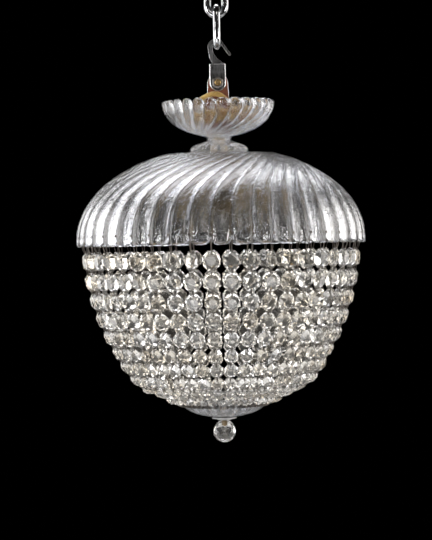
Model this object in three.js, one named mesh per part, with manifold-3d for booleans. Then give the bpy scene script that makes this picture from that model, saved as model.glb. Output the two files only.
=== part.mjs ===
// A crystal pendant lamp: a chain and hook carry a stirrup, whose stem clamps a glass bowl, a glass knop
// and a swirled glass dome. Strands of crystal beads hang from the dome's rim and carry a glass dish
// with a faceted ball. Sizes are in millimetres and Z points up. The origin is the inside of the upper
// chain link's top bend, where the lamp hangs. The front of the lamp faces -Y.
import * as THREE from 'three';
import { mergeVertices } from 'three/addons/utils/BufferGeometryUtils.js';
import Module from 'manifold-3d';

const wasm = await Module();
wasm.setup();

// Driving dimensions
const CLEAR = 0.3; // gap between pieces that touch
const PAST = 2; // how far a cutter runs past the face that it cuts
const chain = { wire: 7, innerWidth: 9.8, innerLength: 30.6 };
const hook = {
  innerRadius: 4.6, outerRadius: 7.9, outerShift: 1.1, flareAngle: 35, flareLength: 13,
  leaveAngle: 200, neckHalf: 4.6, neckDrop: 9, shoulderDrop: 17.4, shoulderSlope: 1.8, shoulderCorner: 1,
  reach: 35.7, halfWidth: 7.75, thickness: 3, bridge: 4,
};
const bolt = { radius: 3, headRadius: 5.2, headThick: 3.4, endStandsOut: 1.6, edge: 0.8 };
const boltNut = { acrossFlats: 10, thick: 5 };
const spacer = { radius: 5.4 };
const clevis = { gap: 18, strap: 2.2, topHalf: 9.8, baseHalf: 12, reach: 42.5, bend: 4 };
const stem = { radius: 5, bore: 3.5, aboveNut: 1.6, intoHub: 12 };
const stemNut = { acrossFlats: 14, thick: 5 };
const washer = { radius: 12, thick: 1.5 };
const bowl = {
  radius: 54.2, depth: 32.4, wall: 3.5, floor: 4.5, footRadius: 12.2,
  lobes: 27, lobeDepth: 2.4, scallop: 5.2, twist: 65, twistPower: 1.4, frontLobe: 18.8,
};
const dome = {
  radius: 140, bulge: 89.2, rise: 82.3, wall: 4, skirt: 5.5, notch: 0.2, lobes: 44, lobeDepth: 3.4,
  twist: 122, twistPower: 1.9, holeAboveNotch: 4.2, holeRadius: 2.3,
};
const domePlate = { radius: 38, thick: 2 };
const hub = { radius: 14, height: 16, armReach: 30, armRadius: 5, armSlope: 25, arms: 3 };
const lampholder = {
  radius: 12.5, length: 40, overlap: 6, mouthRadius: 7.4, mouthDepth: 24, firstAngle: 30,
  taper: 1.5, taperLength: 4,
};
const bulb = { capRadius: 7, neckRadius: 10, neckRise: 2, globeRadius: 22.5, length: 72 };
const strand = {
  beadSizes: [19, 19, 18, 18, 17, 15, 15, 14, 11.5, 11.5, 11], widthShare: 0.86, thickShare: 0.45,
  beadGap: 1.8, footWire: 4, wireRadius: 0.8, wireInside: 2.2, wireOutside: 1.8,
};
const dish = {
  rimRadius: 40.5, height: 16, wall: 3.4, roundness: 0.9, lobes: 22, lobeDepth: 1.3, scallop: 1.6,
  boreRadius: 2.6, holeRadius: 2.2, holeDrop: 3.4, pinInside: 6.6, strandOutside: 2.9,
};
const pin = { radius: 2.2, headRadius: 5.5, headThick: 3, washerRadius: 8, washerThick: 1.2, intoBall: 7 };
const collar = { topRadius: 12, bottomRadius: 6.4, height: 2.6, lip: 1 };
const ball = { radius: 11, flat: 0.5 };
const flex = { diameter: 5, sides: 8, step: 9 };
const coil = {
  radius: 30, turns: 2 + 1 / 3, pitch: 5.6, tilt: 6.7, shiftX: 5, rise: 9.8, sides: 6, steps: 20,
};
const block = { length: 20, width: 10, height: 8, lift: 1.4 };
const ROUND = 12; // segments of a small round piece

// The bead strand's line from the first bead's top to the last bead's foot: the share of the way out
// from the dish's side to the wire inside the dome's wall, and the height above the dome's rim line.
const STRAND_LINE = [
  [1.0023, -10.8], [0.9598, -39], [0.8448, -76], [0.6448, -113.5], [0.4322, -138.8], [0.1908, -149.4],
  [0, -159.8],
];

// The knop's outline, as radius and height above its foot
const KNOP_OUTLINE = [
  [24.5, 0], [27.2, 2.4], [27.2, 5.6], [22.8, 8.6], [12.9, 11.9], [10.9, 13.9], [12.2, 15.9],
];

// Heights, from the hanging point down
const lowerLinkTop = -chain.innerLength + CLEAR;
const bendRise = chain.innerWidth / 2 - Math.sqrt((chain.innerWidth ** 2 - hook.thickness ** 2) / 4);
const hookTop = lowerLinkTop - chain.innerLength + bendRise + CLEAR;
const hookCentre = hookTop - hook.innerRadius;
const pivotHeight = hookCentre - hook.reach;
const clevisFloor = pivotHeight - clevis.reach;
const washerTop = clevisFloor - clevis.strap - CLEAR;
const bowlFloor = washerTop - washer.thick - CLEAR;
const knopTop = bowlFloor - bowl.floor - CLEAR;
const knopFoot = knopTop - KNOP_OUTLINE.at(-1)[1];
const domeTop = knopFoot - CLEAR;
const plateTop = domeTop - dome.wall - CLEAR;
const lockNutTop = plateTop - domePlate.thick - CLEAR;
const hubTop = lockNutTop - stemNut.thick - CLEAR;
const stemTop = clevisFloor + CLEAR + stemNut.thick + stem.aboveNut;
const rimLine = domeTop - dome.rise; // where the dome is widest
const boreRadius = stem.radius + CLEAR;
const boltBore = bolt.radius + CLEAR;
const legOutside = clevis.gap / 2 + clevis.strap;
const cheekInside = legOutside + CLEAR; // the hook's cheeks lie outside the stirrup's legs
const cheekOutside = cheekInside + hook.thickness;

const degrees = (angle) => (angle * Math.PI) / 180;
const polar = (radius, angle, z) =>
  new THREE.Vector3(radius * Math.cos(angle), radius * Math.sin(angle), z);

// Merges shared corners, drops flat triangles and turns every face outwards.
function clean(geometry) {
  geometry.deleteAttribute('normal');
  geometry.deleteAttribute('uv');
  const merged = mergeVertices(geometry, 1e-4);
  const place = merged.getAttribute('position');
  const index = merged.getIndex().array;
  const kept = [];
  const [a, b, c] = [new THREE.Vector3(), new THREE.Vector3(), new THREE.Vector3()];
  let volume = 0;
  for (let i = 0; i < index.length; i += 3) {
    const corners = [index[i], index[i + 1], index[i + 2]];
    if (new Set(corners).size < 3) continue;
    [a, b, c].forEach((corner, k) => corner.fromBufferAttribute(place, corners[k]));
    volume += a.dot(b.cross(c)) / 6;
    kept.push(corners);
  }
  if (volume < 0) kept.forEach((corners) => corners.reverse());
  merged.setIndex(kept.flat());
  return merged;
}

function toSolid(geometry) {
  const merged = clean(geometry);
  return new wasm.Manifold(new wasm.Mesh({
    numProp: 3,
    vertProperties: new Float32Array(merged.getAttribute('position').array),
    triVerts: new Uint32Array(merged.getIndex().array),
  }));
}

function toGeometry(solid) {
  const mesh = solid.getMesh();
  const geometry = new THREE.BufferGeometry();
  geometry.setAttribute('position', new THREE.BufferAttribute(mesh.vertProperties, 3));
  geometry.setIndex(new THREE.BufferAttribute(mesh.triVerts, 1));
  return geometry;
}

// Cuts every tool out of a body.
function cut(body, tools) {
  return toGeometry(tools.reduce((solid, tool) => solid.subtract(toSolid(tool)), toSolid(body)));
}

// Joins pieces that overlap into one body.
function join(pieces) {
  return toGeometry(pieces.slice(1).reduce((solid, piece) => solid.add(toSolid(piece)), toSolid(pieces[0])));
}

// A closed surface through rings of equally many points. The last ring joins the first, or both ends
// are capped.
function skin(rings, loop) {
  const sides = rings[0].length;
  const index = [];
  const corner = (ring, side) => (ring % rings.length) * sides + (side % sides);
  for (let i = 0; i < rings.length - (loop ? 0 : 1); i += 1) {
    for (let j = 0; j < sides; j += 1) {
      index.push(corner(i, j), corner(i, j + 1), corner(i + 1, j));
      index.push(corner(i, j + 1), corner(i + 1, j + 1), corner(i + 1, j));
    }
  }
  for (let j = 1; j < sides - 1 && !loop; j += 1) {
    index.push(corner(0, 0), corner(0, j + 1), corner(0, j));
    index.push(corner(rings.length - 1, 0), corner(rings.length - 1, j), corner(rings.length - 1, j + 1));
  }
  const geometry = new THREE.BufferGeometry();
  const numbers = rings.flat().flatMap((point) => point.toArray());
  geometry.setAttribute('position', new THREE.Float32BufferAttribute(numbers, 3));
  geometry.setIndex(index);
  return clean(geometry);
}

// A turned piece about Z, from pairs of radius and height.
function turned(profile, segments = ROUND) {
  const points = profile.map(([radius, height]) => new THREE.Vector2(radius, height));
  return clean(new THREE.LatheGeometry(points, segments).rotateX(Math.PI / 2));
}

// A ring about Z with a square section.
function ring(inner, outer, bottom, top, segments = ROUND) {
  return turned([[inner, bottom], [outer, bottom], [outer, top], [inner, top], [inner, bottom]], segments);
}

// A straight bar between two points, with a corner on top when it lies down.
function bar(from, to, radius, sides = 4) {
  const along = to.clone().sub(from);
  const geometry = new THREE.CylinderGeometry(radius, radius, along.length(), sides);
  along.normalize();
  const guide = Math.abs(along.z) > 0.9 ? new THREE.Vector3(1, 0, 0) : new THREE.Vector3(0, 0, 1);
  const side = along.clone().cross(guide).normalize();
  const up = side.clone().cross(along);
  geometry.applyMatrix4(new THREE.Matrix4().makeBasis(side, along, up));
  const middle = from.clone().add(to).multiplyScalar(0.5);
  return geometry.translate(middle.x, middle.y, middle.z);
}

// A flat outline given a thickness: its first number runs along X and its second along Z.
function sheetAcrossY(shape, thickness, curveSegments = 5) {
  const geometry = new THREE.ExtrudeGeometry(shape, { depth: thickness, bevelEnabled: false, curveSegments });
  return clean(geometry.translate(0, 0, -thickness / 2).rotateX(Math.PI / 2));
}

// The same with its first number along Y and the thickness along X.
function sheetAcrossX(shape, thickness, curveSegments) {
  return sheetAcrossY(shape, thickness, curveSegments).rotateZ(Math.PI / 2);
}

// A hexagon nut about Z, standing up from a height.
function hexNut({ acrossFlats, thick }, bore, bottom) {
  const outline = new THREE.Shape();
  for (let i = 0; i < 6; i += 1) {
    const corner = polar(acrossFlats / 2 / Math.cos(Math.PI / 6), degrees(60 * i), 0);
    outline[i ? 'lineTo' : 'moveTo'](corner.x, corner.y);
  }
  outline.closePath();
  outline.holes.push(new THREE.Path().absarc(0, 0, bore, 0, 2 * Math.PI));
  const geometry = new THREE.ExtrudeGeometry(outline, {
    depth: thick, bevelEnabled: false, curveSegments: 6 });
  return clean(geometry.translate(0, 0, bottom));
}

// One oval link standing in the XZ plane, hung by its inner top.
function chainLink(innerTop) {
  const bend = (chain.innerWidth + chain.wire) / 2;
  const straight = chain.innerLength - chain.innerWidth;
  const bendSteps = 5;
  const sides = 8;
  const rings = [];
  for (const [start, drop] of [[0, 0], [180, straight]]) {
    for (let i = 0; i <= bendSteps; i += 1) {
      const angle = degrees(start + (180 * i) / bendSteps);
      const outward = new THREE.Vector3(Math.cos(angle), 0, Math.sin(angle));
      const centre = outward.clone().multiplyScalar(bend);
      centre.z += innerTop - chain.innerWidth / 2 - drop;
      rings.push(Array.from({ length: sides }, (_, j) => {
        const around = (2 * Math.PI * (j + 0.5)) / sides;
        const point = centre.clone().addScaledVector(outward, (chain.wire / 2) * Math.cos(around));
        point.y += (chain.wire / 2) * Math.sin(around);
        return point;
      }));
    }
  }
  return skin(rings, true);
}

// A flat open hook above a fork: a bridge with a cheek in front and one behind, each with a round foot
// and a bolt hole.
function hookFork() {
  const flare = degrees(hook.flareAngle);
  const along = [Math.sin(flare), -Math.cos(flare)];
  const outerCentre = [-hook.outerShift, hookCentre];
  const outerEnd = [
    outerCentre[0] + hook.outerRadius * Math.cos(flare), outerCentre[1] + hook.outerRadius * Math.sin(flare)];
  const innerEnd = [hook.innerRadius * Math.cos(flare), hookCentre + hook.innerRadius * Math.sin(flare)];
  const shoulder = hookCentre - hook.shoulderDrop;
  const leave = degrees(hook.leaveAngle);
  const neckHeight = hookCentre - hook.neckDrop;
  const bridgeMiddle = shoulder - hook.bridge / 2;
  const arm = new THREE.Shape();
  arm.moveTo(-hook.halfWidth, bridgeMiddle);
  arm.lineTo(-hook.halfWidth, shoulder);
  arm.lineTo(-hook.neckHalf, shoulder + hook.shoulderSlope);
  arm.quadraticCurveTo(
    outerCentre[0] - hook.outerRadius, neckHeight,
    outerCentre[0] + hook.outerRadius * Math.cos(leave), outerCentre[1] + hook.outerRadius * Math.sin(leave));
  arm.absarc(...outerCentre, hook.outerRadius, leave, flare, true);
  arm.lineTo(outerEnd[0] + along[0] * hook.flareLength, outerEnd[1] + along[1] * hook.flareLength);
  arm.lineTo(innerEnd[0] + along[0] * hook.flareLength, innerEnd[1] + along[1] * hook.flareLength);
  arm.lineTo(...innerEnd);
  arm.absarc(0, hookCentre, hook.innerRadius, flare, leave, false);
  arm.quadraticCurveTo(
    -hook.innerRadius, neckHeight, hook.halfWidth - hook.shoulderCorner, shoulder + hook.shoulderCorner);
  arm.lineTo(hook.halfWidth, shoulder);
  arm.lineTo(hook.halfWidth, bridgeMiddle);
  const cheek = new THREE.Shape();
  cheek.moveTo(-hook.halfWidth, pivotHeight);
  cheek.lineTo(-hook.halfWidth, shoulder);
  cheek.lineTo(hook.halfWidth, shoulder);
  cheek.lineTo(hook.halfWidth, pivotHeight);
  cheek.absarc(0, pivotHeight, hook.halfWidth, 0, -Math.PI, true);
  cheek.holes.push(new THREE.Path().absarc(0, pivotHeight, boltBore, 0, 2 * Math.PI));
  const cheeks = [-1, 1].map((side) => sheetAcrossY(cheek, hook.thickness)
    .translate(0, side * (cheekInside + hook.thickness / 2), 0));
  const bridge = new THREE.BoxGeometry(2 * hook.halfWidth, 2 * cheekOutside, hook.bridge)
    .translate(0, 0, bridgeMiddle);
  return join([bridge, sheetAcrossY(arm, hook.thickness), ...cheeks]);
}

// The bolt lies along Y with its round head at the back and its domed end past the nut in front.
function pivotBolt() {
  const head = cheekOutside + CLEAR;
  const end = -(cheekOutside + CLEAR + boltNut.thick + bolt.endStandsOut);
  const top = head + bolt.headThick;
  return turned([
    [0, end], [bolt.radius - bolt.edge, end], [bolt.radius, end + bolt.edge], [bolt.radius, head],
    [bolt.headRadius, head], [bolt.headRadius, top - bolt.edge], [bolt.headRadius - bolt.edge, top], [0, top],
  ]).rotateX(-Math.PI / 2).translate(0, 0, pivotHeight);
}

// Lays a piece made about Z along Y at the pivot, its bottom end towards the front.
const alongPivot = (geometry) => geometry.rotateX(-Math.PI / 2).translate(0, 0, pivotHeight);

// A strap bent into a U, with round-topped legs in front and behind and a wider base.
function clevisStrap() {
  const outer = legOutside;
  const inner = clevis.gap / 2;
  const top = pivotHeight + clevis.topHalf + PAST;
  const bottom = clevisFloor - clevis.strap;
  const bent = new THREE.Shape();
  bent.moveTo(-outer, top);
  bent.lineTo(-outer, bottom + clevis.bend);
  bent.absarc(-outer + clevis.bend, bottom + clevis.bend, clevis.bend, Math.PI, 1.5 * Math.PI, false);
  bent.absarc(outer - clevis.bend, bottom + clevis.bend, clevis.bend, 1.5 * Math.PI, 2 * Math.PI, false);
  bent.lineTo(outer, top);
  bent.lineTo(inner, top);
  const innerBend = clevis.bend - clevis.strap;
  bent.absarc(inner - innerBend, clevisFloor + innerBend, innerBend, 0, -0.5 * Math.PI, true);
  bent.absarc(-inner + innerBend, clevisFloor + innerBend, innerBend, -0.5 * Math.PI, -Math.PI, true);
  bent.lineTo(-inner, top);
  const face = new THREE.Shape();
  face.moveTo(-clevis.baseHalf, bottom - PAST);
  face.lineTo(clevis.baseHalf, bottom - PAST);
  face.lineTo(clevis.topHalf, pivotHeight);
  face.absarc(0, pivotHeight, clevis.topHalf, 0, Math.PI, false);
  const strap = toSolid(sheetAcrossX(bent, 3 * clevis.baseHalf, 2))
    .intersect(toSolid(sheetAcrossY(face, 2 * (outer + PAST), 6)));
  const across = (y) => new THREE.Vector3(0, y, pivotHeight);
  const upright = (z) => new THREE.Vector3(0, 0, z);
  return cut(toGeometry(strap), [
    bar(across(-outer - PAST), across(outer + PAST), boltBore, ROUND),
    bar(upright(bottom - PAST), upright(clevisFloor + PAST), boreRadius, ROUND),
  ]);
}

// Around a lobed piece every second point is a lobe's crest and the others its valleys. deep is how
// much nearer the axis a valley lies, and low how much lower.
function lobedRing({ radius, height, lobes, firstLobe, turn = 0, deep = 0, low = 0 }) {
  return Array.from({ length: 2 * lobes }, (_, i) => {
    const valley = i % 2;
    return polar(radius - valley * deep, firstLobe + (Math.PI * i) / lobes + turn, height - valley * low);
  });
}

// The bowl is half an ellipsoid with swirled ribs and a scalloped rim, bored for the stem.
function glassBowl() {
  const bottom = bowlFloor - bowl.floor;
  const rim = bottom + bowl.depth;
  const firstLobe = degrees(bowl.frontLobe - 90);
  const swirl = (radius) => degrees(-bowl.twist * (1 - radius / bowl.radius) ** bowl.twistPower);
  const at = (radius, height, deep, low = 0) => lobedRing({
    radius, height, deep, low, lobes: bowl.lobes, firstLobe, turn: swirl(radius) });
  const outside = [28, 48, 68].map((t) => {
    const radius = bowl.radius * Math.sin(degrees(t));
    const height = rim - bowl.depth * Math.cos(degrees(t));
    return at(radius, height, (bowl.lobeDepth * radius) / bowl.radius);
  });
  const innerRadius = bowl.radius - bowl.wall - bowl.lobeDepth;
  const innerDepth = bowl.depth - bowl.floor;
  const inside = [70, 50, 30].map((t) => at(
    innerRadius * Math.sin(degrees(t)), rim - innerDepth * Math.cos(degrees(t)), 0));
  const half = bowl.scallop / 2;
  return skin([
    at(boreRadius, bottom, 0), at(bowl.footRadius, bottom, 0), ...outside,
    at(bowl.radius, rim + half, bowl.lobeDepth, bowl.scallop),
    at(innerRadius, rim + half, 0, bowl.scallop), ...inside, at(washer.radius + CLEAR, bowlFloor, 0),
    at(boreRadius, bowlFloor, 0),
  ], true);
}

// The knop is a short neck that spreads to a thick rounded foot.
function glassKnop() {
  return turned([
    [boreRadius, knopFoot], ...KNOP_OUTLINE.map(([radius, up]) => [radius, knopFoot + up]),
    [boreRadius, knopTop], [boreRadius, knopFoot],
  ], 14);
}

// Strands hang in the dome's valleys.
const strandAngle = (i) => degrees(-90) + (Math.PI * (2 * i + 1)) / dome.lobes;
const valleyRadius = dome.radius - dome.lobeDepth;
const domeHoleHeight = rimLine + dome.notch + dome.holeAboveNotch;
const wireTurn = valleyRadius - dome.wall - strand.wireInside; // where each strand's wire turns down

// The dome is the upper part of an ellipsoid with swirled ribs, a flat top and a scalloped rim, with a
// hole in each valley for a strand's pin.
function glassDome() {
  const swirl = (radius) => degrees(
    dome.twist * Math.max(0, 1 - radius / dome.radius) ** dome.twistPower);
  const at = (radius, height, deep, low = 0) => lobedRing({
    radius, height, deep, low, lobes: dome.lobes, firstLobe: degrees(-90), turn: swirl(radius) });
  const topAngle = Math.asin(dome.rise / dome.bulge);
  const outside = [1, 0.7, 0.4, 0.15].map((share) => {
    const radius = dome.radius * Math.cos(topAngle * share);
    const height = rimLine + dome.bulge * Math.sin(topAngle * share);
    return at(radius, height, (dome.lobeDepth * radius) / dome.radius);
  });
  const innerRadius = valleyRadius - dome.wall;
  const innerBulge = dome.bulge - dome.wall;
  const innerTop = Math.asin((dome.rise - dome.wall) / innerBulge);
  const inside = [0.12, 0.5, 1].map((share) => at(
    innerRadius * Math.cos(innerTop * share), rimLine + innerBulge * Math.sin(innerTop * share), 0));
  const scallop = dome.skirt + dome.notch;
  const wall = skin([
    at(boreRadius, domeTop, 0), ...outside,
    at(dome.radius, rimLine - dome.skirt, dome.lobeDepth, -scallop),
    at(innerRadius, rimLine - dome.skirt, 0, -scallop), ...inside, at(boreRadius, domeTop - dome.wall, 0),
  ], true);
  const holes = Array.from({ length: dome.lobes }, (_, i) => bar(
    polar(innerRadius - PAST, strandAngle(i), domeHoleHeight),
    polar(dome.radius + PAST, strandAngle(i), domeHoleHeight), dome.holeRadius, 3));
  return cut(wall, holes);
}

// The cluster under the dome: a hub on the stem with sloping arms, one for each lampholder.
const hubCentre = new THREE.Vector3(0, 0, hubTop - hub.height / 2);
const armTurn = (i) => degrees(lampholder.firstAngle) + (2 * Math.PI * i) / hub.arms;
const armDirection = (i) => polar(
  Math.cos(degrees(hub.armSlope)), armTurn(i), -Math.sin(degrees(hub.armSlope)));

function lampCluster() {
  const arms = Array.from({ length: hub.arms }, (_, i) => bar(
    hubCentre, hubCentre.clone().addScaledVector(armDirection(i), hub.armReach), hub.armRadius, 12));
  const body = new THREE.CylinderGeometry(hub.radius, hub.radius, hub.height, ROUND)
    .rotateX(Math.PI / 2).translate(0, 0, hubCentre.z);
  const blind = bar(
    new THREE.Vector3(0, 0, hubTop - stem.intoHub - CLEAR), new THREE.Vector3(0, 0, hubTop + PAST),
    boreRadius, ROUND);
  return cut(join([body, ...arms]), [blind]);
}

// A lampholder along Z from its base: a sleeve bored for the arm below and for the bulb's cap above.
function lampholderSleeve() {
  const bore = hub.armRadius + CLEAR;
  const step = lampholder.length - lampholder.mouthDepth;
  return turned([
    [bore, 0], [lampholder.radius - lampholder.taper, 0], [lampholder.radius, lampholder.taperLength],
    [lampholder.radius, lampholder.length],
    [lampholder.mouthRadius, lampholder.length], [lampholder.mouthRadius, step], [bore, step], [bore, 0],
  ], 12);
}

// A bulb along Z from its cap's foot, with a round globe.
function bulbBody() {
  const capLength = lampholder.mouthDepth;
  const globeCentre = bulb.length - bulb.globeRadius;
  const globe = [-50, -5, 45].map((t) => [
    bulb.globeRadius * Math.cos(degrees(t)), globeCentre + bulb.globeRadius * Math.sin(degrees(t))]);
  return turned([
    [0, 0], [bulb.capRadius, 0], [bulb.capRadius, capLength], [bulb.neckRadius, capLength + bulb.neckRise],
    ...globe,
    [0, bulb.length],
  ], 10);
}

// The strand's line with the wire above the first bead and the pin through the dish after the last.
function strandLine() {
  const reach = wireTurn - strandFoot.radius;
  return new THREE.SplineCurve(STRAND_LINE.map(([share, rise]) => new THREE.Vector2(
    strandFoot.radius + share * reach, rimLine + rise)));
}

const strandFoot = {
  radius: dish.rimRadius + dish.strandOutside, height: rimLine + STRAND_LINE.at(-1)[1],
};
const dishRim = strandFoot.height + dish.holeDrop;

// A bead is turned on its strand just enough to clear its neighbours.
function beadTurn(width, thick, radius) {
  const room = (2 * Math.PI * radius) / dome.lobes - CLEAR;
  if (room >= width) return 0;
  const share = (1 / room ** 2 - 1 / width ** 2) / (1 / thick ** 2 - 1 / width ** 2);
  return Math.asin(Math.sqrt(Math.min(1, share)));
}

// One strand as an unbroken body of three-cornered sections: a wire, beads with thin necks, and a pin.
function beadStrand(angle) {
  const outward = polar(1, angle, 0);
  const sideways = polar(1, angle + Math.PI / 2, 0);
  const place = ([radius, height]) => outward.clone().multiplyScalar(radius).setZ(height);
  const rings = [];
  const addSection = (centre, across, thick, normal, turn) => {
    const wide = sideways.clone().multiplyScalar(Math.cos(turn)).addScaledVector(normal, Math.sin(turn));
    const deep = normal.clone().multiplyScalar(Math.cos(turn)).addScaledVector(sideways, -Math.sin(turn));
    rings.push([[0.5, 0.25], [-0.5, 0.25], [0, -0.5]].map(([w, d]) => centre.clone()
      .addScaledVector(wide, w * across).addScaledVector(deep, d * thick)));
  };
  const wire = 2 * strand.wireRadius;
  addSection(place([wireTurn, domeHoleHeight + strand.wireRadius]), wire, wire, outward, 0);
  const line = strandLine();
  const total = line.getLength();
  const used = strand.beadSizes.reduce((sum, size) => sum + size + strand.beadGap, -strand.beadGap);
  const scale = (total - strand.footWire) / used; // the beads fill the line down to the last wire
  let run = 0;
  strand.beadSizes.forEach((size, row) => {
    const long = size * scale;
    const at = (distance) => {
      const share = Math.min(1, Math.max(0, distance / total));
      const point = line.getPointAt(share);
      const tangent = line.getTangentAt(share);
      const normal = outward.clone().multiplyScalar(-tangent.y).setZ(tangent.x);
      return { centre: place([point.x, point.y]), normal, radius: point.x };
    };
    const middle = at(run + long / 2);
    const width = size * strand.widthShare;
    const thick = size * strand.thickShare;
    const turn = beadTurn(width, thick, middle.radius);
    const neck = at(run - (row ? (strand.beadGap * scale) / 2 : 0));
    addSection(neck.centre, wire, wire, neck.normal, 0);
    addSection(middle.centre, width, thick, middle.normal, turn);
    run += (size + strand.beadGap) * scale;
  });
  const down = new THREE.Vector3(0, 0, -1);
  addSection(place([strandFoot.radius, strandFoot.height]), wire, wire, down, 0);
  addSection(place([dish.rimRadius - dish.pinInside, strandFoot.height]), wire, wire, down, 0);
  return skin(rings, false);
}

// Two neighbouring strands hang from one staple, whose legs pass out through two of the dome's holes.
function strandPair(first) {
  const [one, two] = [strandAngle(first), strandAngle(first + 1)];
  const outside = valleyRadius + strand.wireOutside;
  const section = (radius, angle, facing, widen = 1) => {
    const across = polar(widen * strand.wireRadius, angle + degrees(facing), 0);
    return [[0, 1], [0.87, -0.5], [-0.87, -0.5]].map(([w, up]) => polar(
      radius, angle, domeHoleHeight + up * strand.wireRadius).addScaledVector(across, w));
  };
  const staple = skin([
    section(outside, one, -90), section(wireTurn, one, -135, Math.SQRT2),
    section(wireTurn, two, 135, Math.SQRT2), section(outside, two, 90),
  ], false);
  return join([staple, beadStrand(one), beadStrand(two)]);
}

// The dish is a shallow fluted cup with a bore in its floor and a ring of holes under its rim.
function glassDish() {
  const at = (radius, height, deep, low = 0) => lobedRing({
    radius, height, deep, low, lobes: dish.lobes, firstLobe: degrees(-90) });
  const bottom = dishRim - dish.height;
  const outside = [30, 56].map((t) => {
    const radius = dish.rimRadius * Math.sin(degrees(t));
    const height = dishRim - dish.height * Math.cos(degrees(t)) ** dish.roundness;
    return at(radius, height, (dish.lobeDepth * radius) / dish.rimRadius);
  });
  const innerRadius = dish.rimRadius - dish.wall;
  const floor = bottom + dish.wall;
  const side = degrees(62);
  const middle = at(
    innerRadius * Math.sin(side), dishRim - (dish.height - dish.wall) * Math.cos(side) ** dish.roundness, 0);
  const cup = skin([
    at(dish.boreRadius, bottom, 0), ...outside,
    at(dish.rimRadius, dishRim + dish.scallop / 2, dish.lobeDepth, dish.scallop),
    at(innerRadius, dishRim + dish.scallop / 2, 0, dish.scallop), middle,
    at(pin.washerRadius + CLEAR, floor, 0), at(dish.boreRadius, floor, 0),
  ], true);
  const holes = Array.from({ length: dome.lobes }, (_, i) => bar(
    polar(dish.rimRadius + PAST, strandAngle(i), strandFoot.height),
    polar(dish.rimRadius - dish.pinInside - PAST, strandAngle(i), strandFoot.height), dish.holeRadius, 3));
  return cut(cup, holes);
}

// The pin under the dish: a head on the dish's floor, a shank through the collar and into the ball.
const dishBottom = dishRim - dish.height;
const pinWasherBottom = dishBottom + dish.wall + CLEAR;
const pinHeadBottom = pinWasherBottom + pin.washerThick + CLEAR;
const collarTop = dishBottom - CLEAR;
const ballCentre = collarTop - collar.height - CLEAR - ball.radius + ball.flat;

function finialPin() {
  const end = ballCentre + ball.radius - pin.intoBall;
  return turned([
    [0, end], [pin.radius, end], [pin.radius, pinHeadBottom], [pin.headRadius, pinHeadBottom],
    [pin.headRadius, pinHeadBottom + pin.headThick], [0, pinHeadBottom + pin.headThick],
  ], 12);
}

function finialBall() {
  const sphere = new THREE.IcosahedronGeometry(ball.radius, 1).translate(0, 0, ballCentre);
  const flat = ballCentre + ball.radius - ball.flat;
  const top = new THREE.Vector3(0, 0, flat + PAST);
  const seat = bar(new THREE.Vector3(0, 0, flat), top, ball.radius, 12);
  const hole = bar(
    new THREE.Vector3(0, 0, ballCentre + ball.radius - pin.intoBall - CLEAR), top, pin.radius + CLEAR, 12);
  return cut(sphere, [seat, hole]);
}

// The coil's centre line: a helix about Z that climbs, with a straight run at each end.
class WoundLine extends THREE.Curve {
  getPoint(t) {
    const sweep = 2 * Math.PI * coil.turns;
    const bend = Math.hypot(coil.radius, coil.pitch / (2 * Math.PI)) * sweep;
    const distance = t * (bend + 2 * flex.diameter) - flex.diameter;
    const inside = Math.min(bend, Math.max(0, distance));
    const angle = (sweep * inside) / bend;
    const point = polar(coil.radius, angle, (coil.pitch * angle) / (2 * Math.PI));
    const along = polar(1, angle + Math.PI / 2, coil.pitch / (2 * Math.PI * coil.radius)).normalize();
    return point.addScaledVector(along, distance - inside);
  }
}

function tubeAlong(curve, steps, sides) {
  const section = new THREE.Shape();
  for (let i = 0; i < sides; i += 1) {
    const corner = polar(flex.diameter / 2, (2 * Math.PI * i) / sides, 0);
    section[i ? 'lineTo' : 'moveTo'](corner.x, corner.y);
  }
  section.closePath();
  return clean(new THREE.ExtrudeGeometry(section, { steps, extrudePath: curve, bevelEnabled: false }));
}

// The least gap of a wound tube to itself, on points more than half a turn apart.
function leastGap(curve, steps) {
  const points = curve.getSpacedPoints(steps);
  const apart = Math.floor(coil.steps / 2);
  let least = Infinity;
  for (let i = 0; i < points.length; i += 1) {
    for (let j = i + apart; j < points.length; j += 1) {
      least = Math.min(least, points[i].distanceTo(points[j]));
    }
  }
  return least - flex.diameter;
}

const wound = new WoundLine();
const woundSteps = Math.round(coil.steps * coil.turns) + 4;
console.log(`least gap of the flex coil to itself: ${leastGap(wound, 4 * woundSteps).toFixed(2)} mm`);

// The coil leans in the bowl, higher on its right.
const coilGroup = new THREE.Group();
coilGroup.rotation.y = -degrees(coil.tilt);
coilGroup.position.set(coil.shiftX, 0, bowlFloor + coil.rise);
coilGroup.updateMatrixWorld();

// The free flex rises out of the stem, passes out of the stirrup's side and round its front leg, and
// goes down inside the coil to the coil's first turn. Heights are above the bowl's floor.
const FLEX_ROUTE = [
  [0, 0, 16], [-1.7, 0.3, 20.4], [-5.6, 0.9, 23.6], [-10.8, 0.8, 25.2], [-15.4, -0.8, 26],
  [-18.9, -4.6, 26.8], [-19.8, -10, 28.1], [-17.4, -15.2, 30.3], [-12, -19, 33.3], [-5.6, -20.8, 35.7],
  [0.4, -21, 35.3], [5.4, -20.8, 32.2], [9.6, -20.4, 27.4], [13.2, -20, 21.6], [17.6, -19.6, 15.9],
  [23.8, -18.8, 12.3], [29.8, -16.4, 12.3], [33.1, -12.6, 13],
];

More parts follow.
